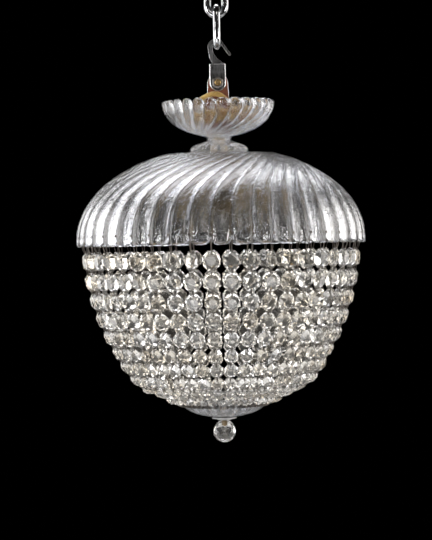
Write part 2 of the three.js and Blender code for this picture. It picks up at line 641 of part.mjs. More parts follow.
function freeFlex() {
  const exit = new THREE.Vector3(0, 0, stemTop + CLEAR);
  const meet = coilGroup.localToWorld(wound.getPoint(0));
  const inward = coilGroup.localToWorld(wound.getPoint(0.01)).sub(meet).normalize();
  meet.addScaledVector(inward, -CLEAR);
  const route = [
    exit, ...FLEX_ROUTE.map(([x, y, up]) => new THREE.Vector3(x, y, bowlFloor + up)),
    meet.clone().addScaledVector(inward, -flex.diameter / 2), meet,
  ];
  const curve = new THREE.CatmullRomCurve3(route);
  return tubeAlong(curve, Math.round(curve.getLength() / flex.step), flex.sides);
}

// Finishes
const finishes = {
  chainSteel: { color: 0xc9cacc, metalness: 1, roughness: 0.22 },
  darkSteel: { color: 0x4b4b4d, metalness: 0.9, roughness: 0.5 },
  brass: { color: 0xb48a4e, metalness: 1, roughness: 0.35 },
  bronze: { color: 0x5c3425, metalness: 0.7, roughness: 0.6 },
  zinc: { color: 0x9b9b98, metalness: 1, roughness: 0.45 },
  glass: { color: 0xeef1f3, metalness: 0, roughness: 0.05, transparent: true, opacity: 0.4 },
  crystal: { color: 0xf3eee2, metalness: 0, roughness: 0.03, transparent: true, opacity: 0.6 },
  bulbGlass: { color: 0xf4f0e6, metalness: 0, roughness: 0.3 },
  holder: { color: 0xe6e0d0, metalness: 0, roughness: 0.5 },
  silk: { color: 0xb58b48, metalness: 0, roughness: 0.75 },
  blockPlastic: { color: 0xe9e6dc, metalness: 0, roughness: 0.45 },
};

const lamp = new THREE.Group();

function add(name, geometry, finish, parent = lamp) {
  const material = new THREE.MeshStandardMaterial({ ...finishes[finish], flatShading: true });
  const mesh = new THREE.Mesh(geometry, material);
  mesh.name = name;
  parent.add(mesh);
  return mesh;
}

// Chain and hook
add('upper_chain_link', chainLink(0), 'chainSteel');
add('lower_chain_link', chainLink(lowerLinkTop), 'chainSteel').rotation.z = Math.PI / 2;
add('hook_fork', hookFork(), 'darkSteel');

// Pivot
add('pivot_bolt', pivotBolt(), 'brass');
add('pivot_nut', alongPivot(hexNut(boltNut, boltBore, -cheekOutside - CLEAR - boltNut.thick)), 'brass');
const spacerHalf = clevis.gap / 2 - CLEAR;
add('pivot_spacer', alongPivot(ring(boltBore, spacer.radius, -spacerHalf, spacerHalf)), 'zinc');
add('stirrup', clevisStrap(), 'bronze');

// Stem, bowl, knop and dome
add('stem_tube', ring(stem.bore, stem.radius, hubTop - stem.intoHub, stemTop), 'zinc');
add('stem_top_nut', hexNut(stemNut, boreRadius, clevisFloor + CLEAR), 'zinc');
add('bowl_washer', ring(boreRadius, washer.radius, washerTop - washer.thick, washerTop), 'brass');
add('glass_bowl', glassBowl(), 'glass');
add('glass_knop', glassKnop(), 'glass');
add('glass_dome', glassDome(), 'glass');
add('dome_plate', ring(boreRadius, domePlate.radius, plateTop - domePlate.thick, plateTop, 16), 'brass');
add('dome_lock_nut', hexNut(stemNut, boreRadius, lockNutTop - stemNut.thick), 'zinc');

// Lamp cluster
add('lamp_cluster', lampCluster(), 'brass');
for (let i = 0; i < hub.arms; i += 1) {
  const arm = new THREE.Group();
  const reach = hub.armReach - lampholder.overlap;
  arm.position.copy(hubCentre).addScaledVector(armDirection(i), reach);
  arm.quaternion.setFromUnitVectors(new THREE.Vector3(0, 0, 1), armDirection(i));
  lamp.add(arm);
  add(`lampholder_${i + 1}`, lampholderSleeve(), 'holder', arm);
  const globe = add(`bulb_${i + 1}`, bulbBody(), 'bulbGlass', arm);
  globe.position.z = lampholder.length - lampholder.mouthDepth + CLEAR;
}

// Flex in the bowl
lamp.add(coilGroup);
add('flex_lead', freeFlex(), 'silk');
add('flex_coil', tubeAlong(wound, woundSteps, coil.sides), 'silk', coilGroup);
const coilEnd = wound.getPoint(1);
const coilHeading = coilEnd.clone().sub(wound.getPoint(0.99)).setZ(0).normalize();
const terminal = add(
  'terminal_block', clean(new THREE.BoxGeometry(block.length, block.width, block.height)), 'blockPlastic',
  coilGroup);
terminal.position.copy(coilEnd).addScaledVector(coilHeading, block.length / 2 + CLEAR);
terminal.position.z += block.lift;
terminal.rotation.z = Math.atan2(coilHeading.y, coilHeading.x);

// Crystal strands, dish and finial
for (let i = 0; i < dome.lobes / 2; i += 1) {
  const number = String(i + 1).padStart(2, '0');
  add(`crystal_strand_pair_${number}`, strandPair(2 * i), 'crystal');
}
add('glass_dish', glassDish(), 'glass');
add('finial_washer', ring(
  pin.radius + CLEAR, pin.washerRadius, pinWasherBottom, pinWasherBottom + pin.washerThick), 'brass');
add('finial_pin', finialPin(), 'brass');
add('finial_collar', turned([
  [pin.radius + CLEAR, collarTop - collar.height], [collar.bottomRadius, collarTop - collar.height],
  [collar.topRadius, collarTop - collar.lip], [collar.topRadius, collarTop], [pin.radius + CLEAR, collarTop],
  [pin.radius + CLEAR, collarTop - collar.height],
]), 'zinc');
add('finial_ball', finialBall(), 'crystal');

export default lamp;
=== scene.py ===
"""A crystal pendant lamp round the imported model: chain, hook and stirrup, a swirled glass dome under a
scalloped glass bowl, 44 strands of octagon beads, a fluted dish and a faceted ball. Shapes are worked
in millimetres and placed in metres. The front of the lamp faces -Y."""
import math
import random
from types import SimpleNamespace as Sizes

import bmesh
import bpy
from mathutils import Matrix, Vector


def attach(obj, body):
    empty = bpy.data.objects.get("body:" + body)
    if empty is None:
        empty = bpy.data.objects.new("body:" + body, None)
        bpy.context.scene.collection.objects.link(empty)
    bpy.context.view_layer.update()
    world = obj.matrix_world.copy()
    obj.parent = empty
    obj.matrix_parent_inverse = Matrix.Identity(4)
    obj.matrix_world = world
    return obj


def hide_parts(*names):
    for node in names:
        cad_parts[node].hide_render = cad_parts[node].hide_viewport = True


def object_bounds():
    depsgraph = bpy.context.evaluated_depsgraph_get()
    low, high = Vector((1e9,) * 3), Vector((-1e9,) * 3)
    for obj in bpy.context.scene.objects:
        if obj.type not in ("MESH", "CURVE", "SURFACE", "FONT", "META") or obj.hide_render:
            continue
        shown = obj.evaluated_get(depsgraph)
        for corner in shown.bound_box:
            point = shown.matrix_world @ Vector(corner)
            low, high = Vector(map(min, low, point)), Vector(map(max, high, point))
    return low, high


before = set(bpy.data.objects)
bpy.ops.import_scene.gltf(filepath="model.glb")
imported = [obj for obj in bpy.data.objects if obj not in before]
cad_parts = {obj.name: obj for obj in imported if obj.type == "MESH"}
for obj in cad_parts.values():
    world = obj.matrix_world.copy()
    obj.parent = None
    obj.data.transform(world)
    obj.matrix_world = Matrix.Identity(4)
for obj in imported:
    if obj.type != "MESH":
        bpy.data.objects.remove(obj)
cad_box = [list(corner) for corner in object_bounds()]

MM = 0.001
CLEAR = 0.3 # the play between one piece and the next
chain = Sizes(wire=7, inner_width=9.8, inner_length=30.6)
hook = Sizes(
    inner_radius=4.6, outer_radius=7.9, outer_shift=1.1, flare_angle=35, flare_length=13, leave_angle=200,
    neck_half=4.6, neck_drop=9, shoulder_drop=17.4, shoulder_slope=1.8, shoulder_corner=1, reach=35.7,
    half_width=7.75, thickness=3, bridge=4, soft_edge=0.6)
bolt = Sizes(
    radius=3, head_radius=5.2, head_thick=3.4, end_out=1.6, edge=0.8, thread_depth=0.35,
    thread_pitch=0.45)
bolt_nut = Sizes(across_flats=10, thick=5, soft_edge=0.5)
spacer_radius = 5.4
clevis = Sizes(gap=18, strap=2.2, top_half=9.8, base_half=11.8, reach=42.5, bend=4, soft_edge=0.3)
stem = Sizes(
    radius=5, bore=3.5, above_nut=1.6, into_hub=12, edge=0.4, thread_depth=0.3, thread_pitch=0.5)
stem_nut = Sizes(across_flats=14, thick=5, soft_edge=0.6)
washer = Sizes(radius=12, thick=1.5)
bowl = Sizes(
    radius=54.2, depth=32.4, wall=3.5, floor=4.5, foot_radius=12.2, lobes=27, lobe_depth=2.4,
    depth_power=1, ribs_from=0, scallop=5.2, twist=-65, twist_power=1.4, front_lobe=18.8)
knop = Sizes(
    radius=27, lobes=18, lobe_depth=1.6, depth_power=1, ribs_from=13, twist=0, twist_power=1)
dome = Sizes(
    radius=140, bulge=89.2, rise=82.3, wall=4, skirt=5.5, notch=0.2, lobes=44, lobe_depth=3.4,
    depth_power=0.6, ribs_from=0, twist=122, twist_power=1.9, hole_above_notch=4.2)
dome_plate = Sizes(radius=38, thick=2)
hub = Sizes(radius=14, height=16, arm_start=9, arm_reach=30, arm_radius=5, arm_slope=25, arms=3)
holder = Sizes(
    radius=12.5, length=40, overlap=6, mouth_radius=7.4, mouth_depth=24, first_angle=30,
    grip_start=14, grip_depth=0.7, grip_pitch=1.1)
bulb = Sizes(cap_radius=7, neck_radius=10, globe_radius=22.5, length=72)
strand = Sizes(
    bead_sizes=(19, 19, 18, 18, 17, 15, 15, 14, 11.5, 11.5, 11), width_share=0.86, thick_share=0.45,
    gap=1.8, foot_wire=5.5, wire_inside=2.2, hole_inset=0.11, hole_radius=0.72, wire_radius=0.36,
    rim_loop=2.1, loop=1.7, foot_loop=1.3, rim_pin=1.25, rim_pin_out=1.9, foot_pin_wide=0.9,
    foot_pin_high=1.5, turn_spread=0.13, odd_share=0.06, odd_least=0.5, odd_most=1.1,
    lean_spread=0.05)
dish = Sizes(
    radius=40.5, height=16, wall=3.4, roundness=0.9, lobes=22, lobe_depth=1.3, depth_power=1,
    ribs_from=0, twist=0, twist_power=1, scallop=1.6, bore=2.6, hole_drop=3.4, pin_inside=6.6,
    strand_outside=2.9)
pin = Sizes(radius=2.2, head_radius=5.5, head_thick=3, washer_radius=8, washer_thick=1.2, into_ball=7)
collar = Sizes(top_radius=12, bottom_radius=6.4, height=2.6, lip=1)
ball = Sizes(radius=11, flat=0.5)
flex = Sizes(diameter=5, core_twist=13)
coil = Sizes(radius=30, turns=2 + 1 / 3, pitch=5.6, tilt=6.7, shift=5, rise=9.8)
block = Sizes(
    length=20, width=10, thick=4.4, lift=1.4, edge=0.8, barrel_radius=2.4, tower_radius=2.1,
    tower_top=1.9, tower_height=3.6, tower_lift=2, screw_radius=1.4, screw_height=0.4, screw_lift=3.75)

# The bead strand's line: the share of the way out from the dish's side to the dome's wall, and the
# height above the dome's rim line.
STRAND_LINE = (
    (1.0023, -10.8), (0.9598, -39), (0.8448, -76), (0.6448, -113.5), (0.4322, -138.8),
    (0.1908, -149.4), (0, -159.8))
# The knop's outline: radius and height above its foot.
KNOP_OUTLINE = (
    (24.5, 0), (27.2, 2.4), (27.2, 5.6), (22.8, 8.6), (12.9, 11.9), (10.9, 13.9), (12.2, 15.9))
# The free flex from the stem to the coil: x, y and height above the bowl's floor.
FLEX_ROUTE = (
    (0, 0, 16), (-1.7, 0.3, 20.4), (-5.6, 0.9, 23.6), (-10.8, 0.8, 25.2), (-15.4, -0.8, 26),
    (-18.9, -4.6, 26.8), (-19.8, -10, 28.1), (-17.4, -15.2, 30.3), (-12, -19, 33.3),
    (-5.6, -20.8, 35.7), (0.4, -21, 35.3), (5.4, -20.8, 32.2), (9.6, -20.4, 27.4), (13.2, -20, 21.6),
    (17.6, -19.6, 15.9), (23.8, -18.8, 12.3), (29.8, -16.4, 12.3), (33.1, -12.6, 13))

# Heights, from the hanging point down
lower_link_top = -chain.inner_length + CLEAR
bend_rise = chain.inner_width / 2 - math.sqrt((chain.inner_width ** 2 - hook.thickness ** 2) / 4)
hook_top = lower_link_top - chain.inner_length + bend_rise + CLEAR
hook_centre = hook_top - hook.inner_radius
pivot = hook_centre - hook.reach
clevis_floor = pivot - clevis.reach
washer_top = clevis_floor - clevis.strap - CLEAR
bowl_floor = washer_top - washer.thick - CLEAR
bowl_bottom = bowl_floor - bowl.floor
knop_top = bowl_bottom - CLEAR
knop_foot = knop_top - KNOP_OUTLINE[-1][1]
dome_top = knop_foot - CLEAR
plate_top = dome_top - dome.wall - CLEAR
lock_nut_top = plate_top - dome_plate.thick - CLEAR
hub_top = lock_nut_top - stem_nut.thick - CLEAR
stem_top = clevis_floor + CLEAR + stem_nut.thick + stem.above_nut
rim_line = dome_top - dome.rise
bore_radius = stem.radius + CLEAR
bolt_bore = bolt.radius + CLEAR
leg_outside = clevis.gap / 2 + clevis.strap
cheek_inside = leg_outside + CLEAR
cheek_outside = cheek_inside + hook.thickness
valley_radius = dome.radius - dome.lobe_depth
dome_hole_height = rim_line + dome.notch + dome.hole_above_notch
wire_turn = valley_radius - dome.wall - strand.wire_inside
foot_radius = dish.radius + dish.strand_outside
foot_height = rim_line + STRAND_LINE[-1][1]
dish_rim = foot_height + dish.hole_drop
dish_bottom = dish_rim - dish.height
pin_washer_bottom = dish_bottom + dish.wall + CLEAR
pin_head_bottom = pin_washer_bottom + pin.washer_thick + CLEAR
collar_top = dish_bottom - CLEAR
ball_centre = collar_top - collar.height - CLEAR - ball.radius + ball.flat

scene = bpy.context.scene
chance = random.Random(4)


def polar(radius, angle, height):
    return Vector((radius * math.cos(angle), radius * math.sin(angle), height))


# Camera, at the height of the dome's rim and rolled a little, as the lamp leans in the photograph
CAMERA_PLACE = (-0.0053, -1.94, -0.2559)
CAMERA_AIM = (-0.0053, 0, -0.2806)
CAMERA_ROLL = math.radians(-1.15)
FRAME_HEIGHT = 540 * 0.9689 * MM # what the picture's height covers at the lamp's axis
camera = bpy.data.objects.new("camera", bpy.data.cameras.new("camera"))
scene.collection.objects.link(camera)
camera.data.sensor_width = 36
camera.data.lens = camera.data.sensor_width * -CAMERA_PLACE[1] / FRAME_HEIGHT
camera.location = CAMERA_PLACE
aim = Vector(CAMERA_AIM) - camera.location
camera.rotation_euler = (
    aim.to_track_quat("-Z", "Y").to_matrix() @ Matrix.Rotation(CAMERA_ROLL, 3, "Z")).to_euler()
scene.camera = camera


# Materials
def add_node(tree, kind, inputs=None, **settings):
    made = tree.nodes.new(kind)
    for setting, value in settings.items():
        setattr(made, setting, value)
    for socket, value in (inputs or {}).items():
        if isinstance(value, bpy.types.NodeSocket):
            tree.links.new(value, made.inputs[socket])
        else:
            made.inputs[socket].default_value = value
    return made


def ramp(tree, source, *stops):
    """A colour ramp on a 0 to 1 source, from pairs of place and colour or grey."""
    made = add_node(tree, "ShaderNodeValToRGB", {"Fac": source})
    elements = made.color_ramp.elements
    while len(elements) < len(stops):
        elements.new(0.5)
    for element, (place, colour) in zip(elements, stops):
        element.position = place
        element.color = (*colour, 1) if hasattr(colour, "__len__") else (colour,) * 3 + (1,)
    return made.outputs["Color"]


def paint(tree, shader, socket, source, *stops):
    """Gives one of the shader's sockets a ramp on a 0 to 1 source."""
    tree.links.new(ramp(tree, source, *stops), shader.inputs[socket])


def multiply(tree, colour, shade):
    return add_node(
        tree, "ShaderNodeMix", {6: colour, 7: shade, 0: 1.0}, data_type="RGBA",
        blend_type="MULTIPLY").outputs[2]


def new_material(name, **values):
    """A material with a Principled shader, whose sockets are named with underscores for spaces."""
    material = bpy.data.materials.new(name)
    material.use_nodes = True
    shader = material.node_tree.nodes["Principled BSDF"]
    for socket, value in values.items():
        shader.inputs[socket.replace("_", " ")].default_value = value
    return material, material.node_tree, shader


def mapped(tree, source, **settings):
    return add_node(tree, "ShaderNodeMapping", {"Vector": source, **settings}).outputs[0]


def noise(tree, scale, detail, stretch=(1, 1, 1), source=None, distortion=0):
    """Noise on the object's own coordinates, unless a source is given."""
    if source is None:
        source = add_node(tree, "ShaderNodeTexCoord").outputs["Object"]
    return add_node(tree, "ShaderNodeTexNoise", {
        "Vector": mapped(tree, source, Scale=stretch), "Scale": scale, "Detail": detail,
        "Roughness": 0.55, "Distortion": distortion}).outputs[0]


def bump(tree, shader, height, strength, distance):
    made = add_node(tree, "ShaderNodeBump", {"Height": height, "Strength": strength, "Distance": distance})
    tree.links.new(made.outputs["Normal"], shader.inputs["Normal"])


def mottled(name, drift, colours, grain, shines, relief, depth=0.00008, **values):
    """A finish whose colour follows one noise, and whose shine and relief follow a finer one. Each
    noise is given as its scale and detail."""
    material, tree, shader = new_material(name, **values)
    paint(tree, shader, "Base Color", noise(tree, *drift), *colours)
    fine = noise(tree, *grain)
    paint(tree, shader, "Roughness", fine, *shines)
    bump(tree, shader, fine, relief, depth)
    return material


def metal(name, light, dark, shine, dull, stretch=(1, 1, 1), metallic=1.0, relief=0.12):
    return mottled(
        name, (90, 5), ((0.35, light), (0.68, dark)), (900, 4, stretch), ((0.3, shine), (0.7, dull)),
        relief, Metallic=metallic)


def moulded(name, light, dark):
    return mottled(
        name, (45, 4), ((0.35, light), (0.7, dark)), (1500, 2), ((0.3, 0.38), (0.7, 0.55)), 0.1)


def pressed_glass(name, groove_start, groove_shade):
    """Clear pressed glass under a thin film of dust, with streaks along its ribs and fine ripples across
    them.
    The flow attribute runs round the ribs in X and Y, and along them in Z. Painted shade darkens the
    grooves between the ribs, from groove_start, a share of the way down, to groove_shade."""
    material, tree, shader = new_material(
        name, IOR=1.52, Transmission_Weight=1.0, Specular_IOR_Level=0.6)
    flow = add_node(tree, "ShaderNodeAttribute", attribute_name="flow").outputs["Vector"]
    valley = add_node(tree, "ShaderNodeAttribute", attribute_name="valley").outputs["Fac"]
    streaks = noise(tree, 1, 4, (1.9, 1.9, 0.3), flow, 0.5)
    hairs = noise(tree, 1, 2, (4, 4, 0.2), flow, 0.5)
    ripples = noise(tree, 1, 1, (0.6, 0.6, 4.5), flow, 1.6)
    colour = ramp(
        tree, streaks, (0.32, (0.78, 0.79, 0.86)), (0.55, (0.99, 0.99, 1.0)), (0.75, (0.9, 0.87, 0.82)))
    colour = multiply(tree, colour, ramp(tree, hairs, (0.36, 0.74), (0.52, 1.0)))
    # Painted shade in the grooves between the ribs, following the valley attribute.
    colour = multiply(tree, colour, ramp(tree, valley, (groove_start, 1.0), (1.0, groove_shade)))
    tree.links.new(colour, shader.inputs["Base Color"])
    paint(tree, shader, "Roughness", streaks, (0.35, 0.0), (0.75, 0.03))
    relief = add_node(tree, "ShaderNodeMath", {0: ripples, 1: 0.5, 2: streaks}, operation="MULTIPLY_ADD")
    bump(tree, shader, relief.outputs[0], 0.55, 0.0012)
    return material


def crystal_glass():
    """Old cut crystal with a warm film, each bead a little clearer or warmer than the next."""
    material, tree, shader = new_material(
        "cut_crystal", IOR=1.56, Transmission_Weight=0.96, Specular_IOR_Level=0.6)
    tint = add_node(tree, "ShaderNodeAttribute", attribute_name="tint").outputs["Fac"]
    paint(tree, shader, "Base Color", tint,
          (0, (0.95, 0.935, 0.91)), (0.6, (0.92, 0.885, 0.82)), (1, (0.86, 0.8, 0.7)))
    film = noise(tree, 260, 3)
    paint(tree, shader, "Roughness", film, (0.4, 0.0), (0.75, 0.05))
    bump(tree, shader, film, 0.06, 0.0001)
    return material


def silk():
    """Gold silk braid: fine threads slant round the flex, some straw and some olive."""
    material, tree, shader = new_material(
        "gold_silk_braid", Sheen_Weight=0.5, Sheen_Roughness=0.35, Sheen_Tint=(1.0, 0.85, 0.55, 1))
    around = add_node(tree, "ShaderNodeUVMap", uv_map="braid").outputs["UV"]
    weave = mapped(tree, around, Rotation=(0, 0, math.radians(38)), Scale=(5, 120, 1))
    threads = add_node(tree, "ShaderNodeTexWave", {
        "Vector": weave, "Scale": 1.0, "Distortion": 0.6, "Detail": 1.0}, bands_direction="Y").outputs[0]
    colour = ramp(
        tree, noise(tree, 130, 4), (0.3, (0.86, 0.55, 0.15)), (0.5, (0.6, 0.38, 0.1)),
        (0.7, (0.66, 0.22, 0.05)))
    # The gaps between the threads are darkened: painted shade.
    tree.links.new(
        multiply(tree, colour, ramp(tree, threads, (0.1, 0.22), (0.6, 1.0))),
        shader.inputs["Base Color"])
    paint(tree, shader, "Roughness", threads, (0, 0.75), (1, 0.5))
    bump(tree, shader, threads, 0.6, 0.0002)
    return material


chain_steel = metal(
    "polished_chain_steel", (0.6, 0.61, 0.62), (0.34, 0.34, 0.35), 0.06, 0.2, (1, 1, 0.2), relief=0.08)
plate_steel = metal(
    "darkened_plate_steel", (0.2, 0.2, 0.205), (0.07, 0.068, 0.065), 0.2, 0.42, (1, 1, 0.12), 0.95)
# A lighter copy of the steel for the cut edges of the hook plates and the stirrup strap: a painted
# highlight.
edge_highlight_steel = metal("cut_edge_painted_highlight", (0.78, 0.78, 0.78), (0.5, 0.49, 0.48), 0.22, 0.4)
brass = metal("aged_brass", (0.6, 0.43, 0.2), (0.32, 0.2, 0.08), 0.2, 0.42)
tarnished_brass = metal("tarnished_brass", (0.34, 0.24, 0.1), (0.12, 0.08, 0.035), 0.25, 0.45)
nut_steel = metal("tarnished_nut", (0.36, 0.34, 0.32), (0.14, 0.12, 0.1), 0.28, 0.5)
bronze = metal("worn_red_bronze", (0.33, 0.125, 0.07), (0.1, 0.03, 0.018), 0.34, 0.6, metallic=0.75)
zinc = metal("dull_zinc", (0.5, 0.5, 0.49), (0.3, 0.3, 0.3), 0.3, 0.5)
pin_steel = metal("dark_bead_wire", (0.12, 0.1, 0.085), (0.035, 0.03, 0.026), 0.35, 0.55, metallic=0.8)
# Both glasses carry painted shade in their grooves. The dish's shade is deeper and starts nearer the
# crests of its ribs.
glass = pressed_glass("pressed_glass", 0.8, 0.5)
fluted_glass = pressed_glass("fluted_dish_glass", 0.3, 0.12)
crystal = crystal_glass()
frosted = mottled(
    "frosted_bulb_glass", (60, 3), ((0.35, (0.62, 0.6, 0.56)), (0.7, (0.5, 0.48, 0.44))), (60, 3),
    ((0.3, 0.1), (0.7, 0.2)), 0.1, 0.0002, IOR=1.1, Transmission_Weight=0.98, Coat_Weight=0.3,
    Coat_Roughness=0.1)
block_plastic = moulded("cream_block_plastic", (0.8, 0.77, 0.68), (0.66, 0.61, 0.5))
bush_rubber = moulded("black_bush", (0.03, 0.03, 0.03), (0.015, 0.015, 0.015))
silk_braid = silk()


# Shapes
def mesh_of(name, bm):
    """Ends a shape and gives back its mesh."""
    mesh = bpy.data.meshes.new(name)
    bm.to_mesh(mesh)
    bm.free()
    return mesh


def join(bm, other):
    """Ends the other shape and adds its faces to the first."""
    mesh = mesh_of("joined", other)
    bm.from_mesh(mesh)
    bpy.data.meshes.remove(mesh)


def place(name, bm, materials, slot, stands_for=(), smooth=None, body="lamp"):
    """Makes a shape in millimetres a piece in metres. smooth is the sharpest bend, in degrees, that is
    shaded round."""
    bmesh.ops.scale(bm, vec=(MM, MM, MM), verts=bm.verts[:])
    mesh = mesh_of(name, bm)
    for material in materials:
        mesh.materials.append(material)
    if smooth is not None:
        mesh.shade_smooth()
        mesh.set_sharp_from_angle(angle=math.radians(smooth))
    piece = bpy.data.objects.new(name, mesh)
    scene.collection.objects.link(piece)
    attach(piece, body)
    if stands_for:
        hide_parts(*stands_for)
    return piece


def move(bm, *steps):
    for step in steps:
        bmesh.ops.transform(bm, matrix=step, verts=bm.verts[:])
    return bm


def shifted(x, y, z):
    return Matrix.Translation((x, y, z))


def rotated(angle, axis):
    return Matrix.Rotation(angle, 4, axis)


def scaled(x, y, z):
    return Matrix.Diagonal((x, y, z, 1))


def faced(bm, merge=None):
    """Merges corners nearer than the given distance and turns the faces outwards."""
    if merge:
        bmesh.ops.remove_doubles(bm, verts=bm.verts[:], dist=merge)
    bmesh.ops.recalc_face_normals(bm, faces=bm.faces[:])
    return bm


def spin_round(bm, geometry, steps):
    bmesh.ops.spin(
        bm, geom=geometry, cent=(0, 0, 0), axis=(0, 0, 1), angle=2 * math.pi, steps=steps, use_merge=True)


def turned(profile, steps=48, closed=False):
    """Spins a profile of radius and height pairs about Z."""
    bm = bmesh.new()
    verts = [bm.verts.new((radius, 0, height)) for radius, height in profile]
    edges = [bm.edges.new(pair) for pair in zip(verts, verts[1:])]
    if closed:
        edges.append(bm.edges.new((verts[-1], verts[0])))
    spin_round(bm, verts + edges, steps)
    return faced(bm, 1e-4)


def ring(inner, outer, bottom, top, edge=0.3, steps=48):
    """A ring about Z with softened outer edges."""
    return turned([
        (inner, bottom), (outer - edge, bottom), (outer, bottom + edge), (outer, top - edge),
        (outer - edge, top), (inner, top)], steps, closed=True)


def ridges(radius, depth, start, pitch, count):
    """The profile of a thread or grip: every second point is in by the depth."""
    return [(radius - depth * (i % 2), start + pitch * i) for i in range(count)]


def arc(radius, middle, rise, first, last, count, *share, power=1):
    """Points of radius and height on an oval arc between two angles in degrees, followed by the share
    if one is given."""
    points = []
    for i in range(count):
        angle = math.radians(first + (last - first) * i / (count - 1))
        height = math.copysign(rise * abs(math.sin(angle)) ** power, angle)
        points.append((radius * math.cos(angle), middle + height, *share))
    return points


class Outline:
    """A flat outline in X and Y, drawn from corner to corner."""

    def __init__(self, bm, x, y):
        self.bm = bm
        self.last = bm.verts.new((x, y, 0))

    def line(self, *corners):
        for x, y in corners:
            corner = self.bm.verts.new((x, y, 0))
            self.bm.edges.new((self.last, corner))
            self.last = corner

    def arc(self, centre, angle, steps):
        spun = bmesh.ops.spin(
            self.bm, geom=[self.last], cent=(*centre, 0), axis=(0, 0, 1), angle=math.radians(angle),
            steps=steps)
        self.last = next(part for part in spun["geom_last"] if isinstance(part, bmesh.types.BMVert))

    def curve(self, control, end, steps=10):
        start = self.last.co.to_2d()
        control, end = Vector(control), Vector(end)
        for i in range(1, steps + 1):
            t = i / steps
            self.line((1 - t) ** 2 * start + 2 * t * (1 - t) * control + t * t * end)


def fill_flat(bm):
    """Fills the closed outlines of a flat shape, holes left open."""
    bmesh.ops.remove_doubles(bm, verts=bm.verts[:], dist=1e-3)
    bmesh.ops.triangle_fill(bm, use_beauty=True, edges=bm.edges[:])
    return faced(bm)


def thicken(piece, thickness, edge, rim_slot=0):
    """Gives a sheet its thickness on both sides of its face, and softens its edges."""
    wall = piece.modifiers.new("thickness", "SOLIDIFY")
    wall.thickness = thickness * MM
    wall.offset = 0
    wall.material_offset_rim = rim_slot
    soft = piece.modifiers.new("soft_edges", "BEVEL")
    soft.width = edge * MM
    soft.segments = 2
    soft.material = rim_slot or -1
    soft.limit_method = "ANGLE"
    soft.angle_limit = math.radians(40)


STAND_UP = rotated(math.pi / 2, "X") # lays X and Y outlines in X and Z
ALONG_PIVOT = shifted(0, 0, pivot) @ rotated(-math.pi / 2, "X")


def hex_nut(name, nut, bore, node, *steps):
    """A nut flat in X and Y, its middle moved by the steps."""
    bm = bmesh.new()
    bmesh.ops.create_circle(bm, segments=6, radius=nut.across_flats / 2 / math.cos(math.pi / 6))
    bmesh.ops.create_circle(bm, segments=32, radius=bore)
    piece = place(name, move(fill_flat(bm), *steps), [nut_steel], "zinc", (node,))
    thicken(piece, nut.thick, nut.soft_edge)


def soft_box(size, edge, segments, height=0):
    """A box with rounded edges, its middle at a height."""
    bm = bmesh.new()
    bmesh.ops.create_cube(bm, size=1, matrix=shifted(0, 0, height) @ scaled(*size))
    bmesh.ops.bevel(
        bm, geom=bm.edges[:], offset=edge, segments=segments, affect="EDGES", profile=0.5, material=-1)
    return bm


def add_rod(bm, segments, radius, end_radius, length, matrix):
    bmesh.ops.create_cone(
        bm, cap_ends=True, segments=segments, radius1=radius, radius2=end_radius, depth=length,
        matrix=matrix)


def cut_stone(segments, rings):
    """A stone with flat facets round rings of radius, height and turn."""
    bm = bmesh.new()
    for radius, height, turn in rings:
        bmesh.ops.create_circle(
            bm, segments=segments, radius=radius, matrix=shifted(0, 0, height) @ rotated(turn, "Z"))
    bmesh.ops.convex_hull(bm, input=bm.verts[:])
    bmesh.ops.dissolve_limit(bm, angle_limit=0.02, verts=bm.verts[:], edges=bm.edges[:])
    return faced(bm)


# Cord first: its centre line, then the tube
def curved(p1, p2, v1, v2, steps):
    """Points on the smooth curve from p1 to p2 with the speeds v1 and v2 there, without p2 itself."""
    found = []
    for k in range(steps):
        t = k / steps
        found.append(
            p1 + v1 * t + (3 * (p2 - p1) - 2 * v1 - v2) * t * t + (2 * (p1 - p2) + v1 + v2) * t ** 3)
    return found


def catmull(points, steps):
    """Points on the smooth line through the given ones, the ends doubled."""
    found = []
    for i in range(len(points) - 1):
        v1 = (points[i + 1] - points[max(i - 1, 0)]) / 2
        v2 = (points[min(i + 2, len(points) - 1)] - points[i]) / 2
        found += curved(points[i], points[i + 1], v1, v2, steps)
    return found + [points[-1]]


def centripetal(points, steps):
    """Points on the smooth centripetal line through the given ones, so many steps to each span."""
    found = []
    for i in range(len(points) - 1):
        p1, p2 = points[i], points[i + 1]
        p0 = points[i - 1] if i else 2 * points[0] - points[1]
        p3 = points[i + 2] if i + 2 < len(points) else 2 * points[-1] - points[-2]
        d0, d1, d2 = (math.sqrt((b - a).length) for a, b in ((p0, p1), (p1, p2), (p2, p3)))
        t1 = ((p1 - p0) / d0 - (p2 - p0) / (d0 + d1) + (p2 - p1) / d1) * d1
        t2 = ((p2 - p1) / d1 - (p3 - p1) / (d1 + d2) + (p3 - p2) / d2) * d1
        found += curved(p1, p2, t1, t2, steps)
    return found + [points[-1]]


COIL_PLACE = shifted(coil.shift, 0, bowl_floor + coil.rise) @ rotated(math.radians(-coil.tilt), "Y")


def coil_line(steps):
    """The coil's turns, with a straight run of one diameter at each end."""
    sweep = 2 * math.pi * coil.turns
    climb = coil.pitch / (2 * math.pi)
    bend = math.hypot(coil.radius, climb) * sweep
    found = []
    for i in range(steps + 1):
        distance = i / steps * (bend + 2 * flex.diameter) - flex.diameter
        inside = min(bend, max(0, distance))
        angle = sweep * inside / bend
        along = polar(1, angle + math.pi / 2, climb / coil.radius).normalized()
        found.append(COIL_PLACE @ (polar(coil.radius, angle, climb * angle) + along * (distance - inside)))
    return found


def evenly(points, step):
    """The same line with its points an equal distance apart, as near to step as fits."""
    lengths = [0.0]
    for a, b in zip(points, points[1:]):
        lengths.append(lengths[-1] + (b - a).length)
    count = round(lengths[-1] / step)
    found, k = [], 0
    for i in range(count + 1):
        goal = lengths[-1] * i / count
        while k < len(points) - 2 and lengths[k + 1] < goal:
            k += 1
        share = (goal - lengths[k]) / (lengths[k + 1] - lengths[k])
        found.append(points[k].lerp(points[k + 1], share))
    return found


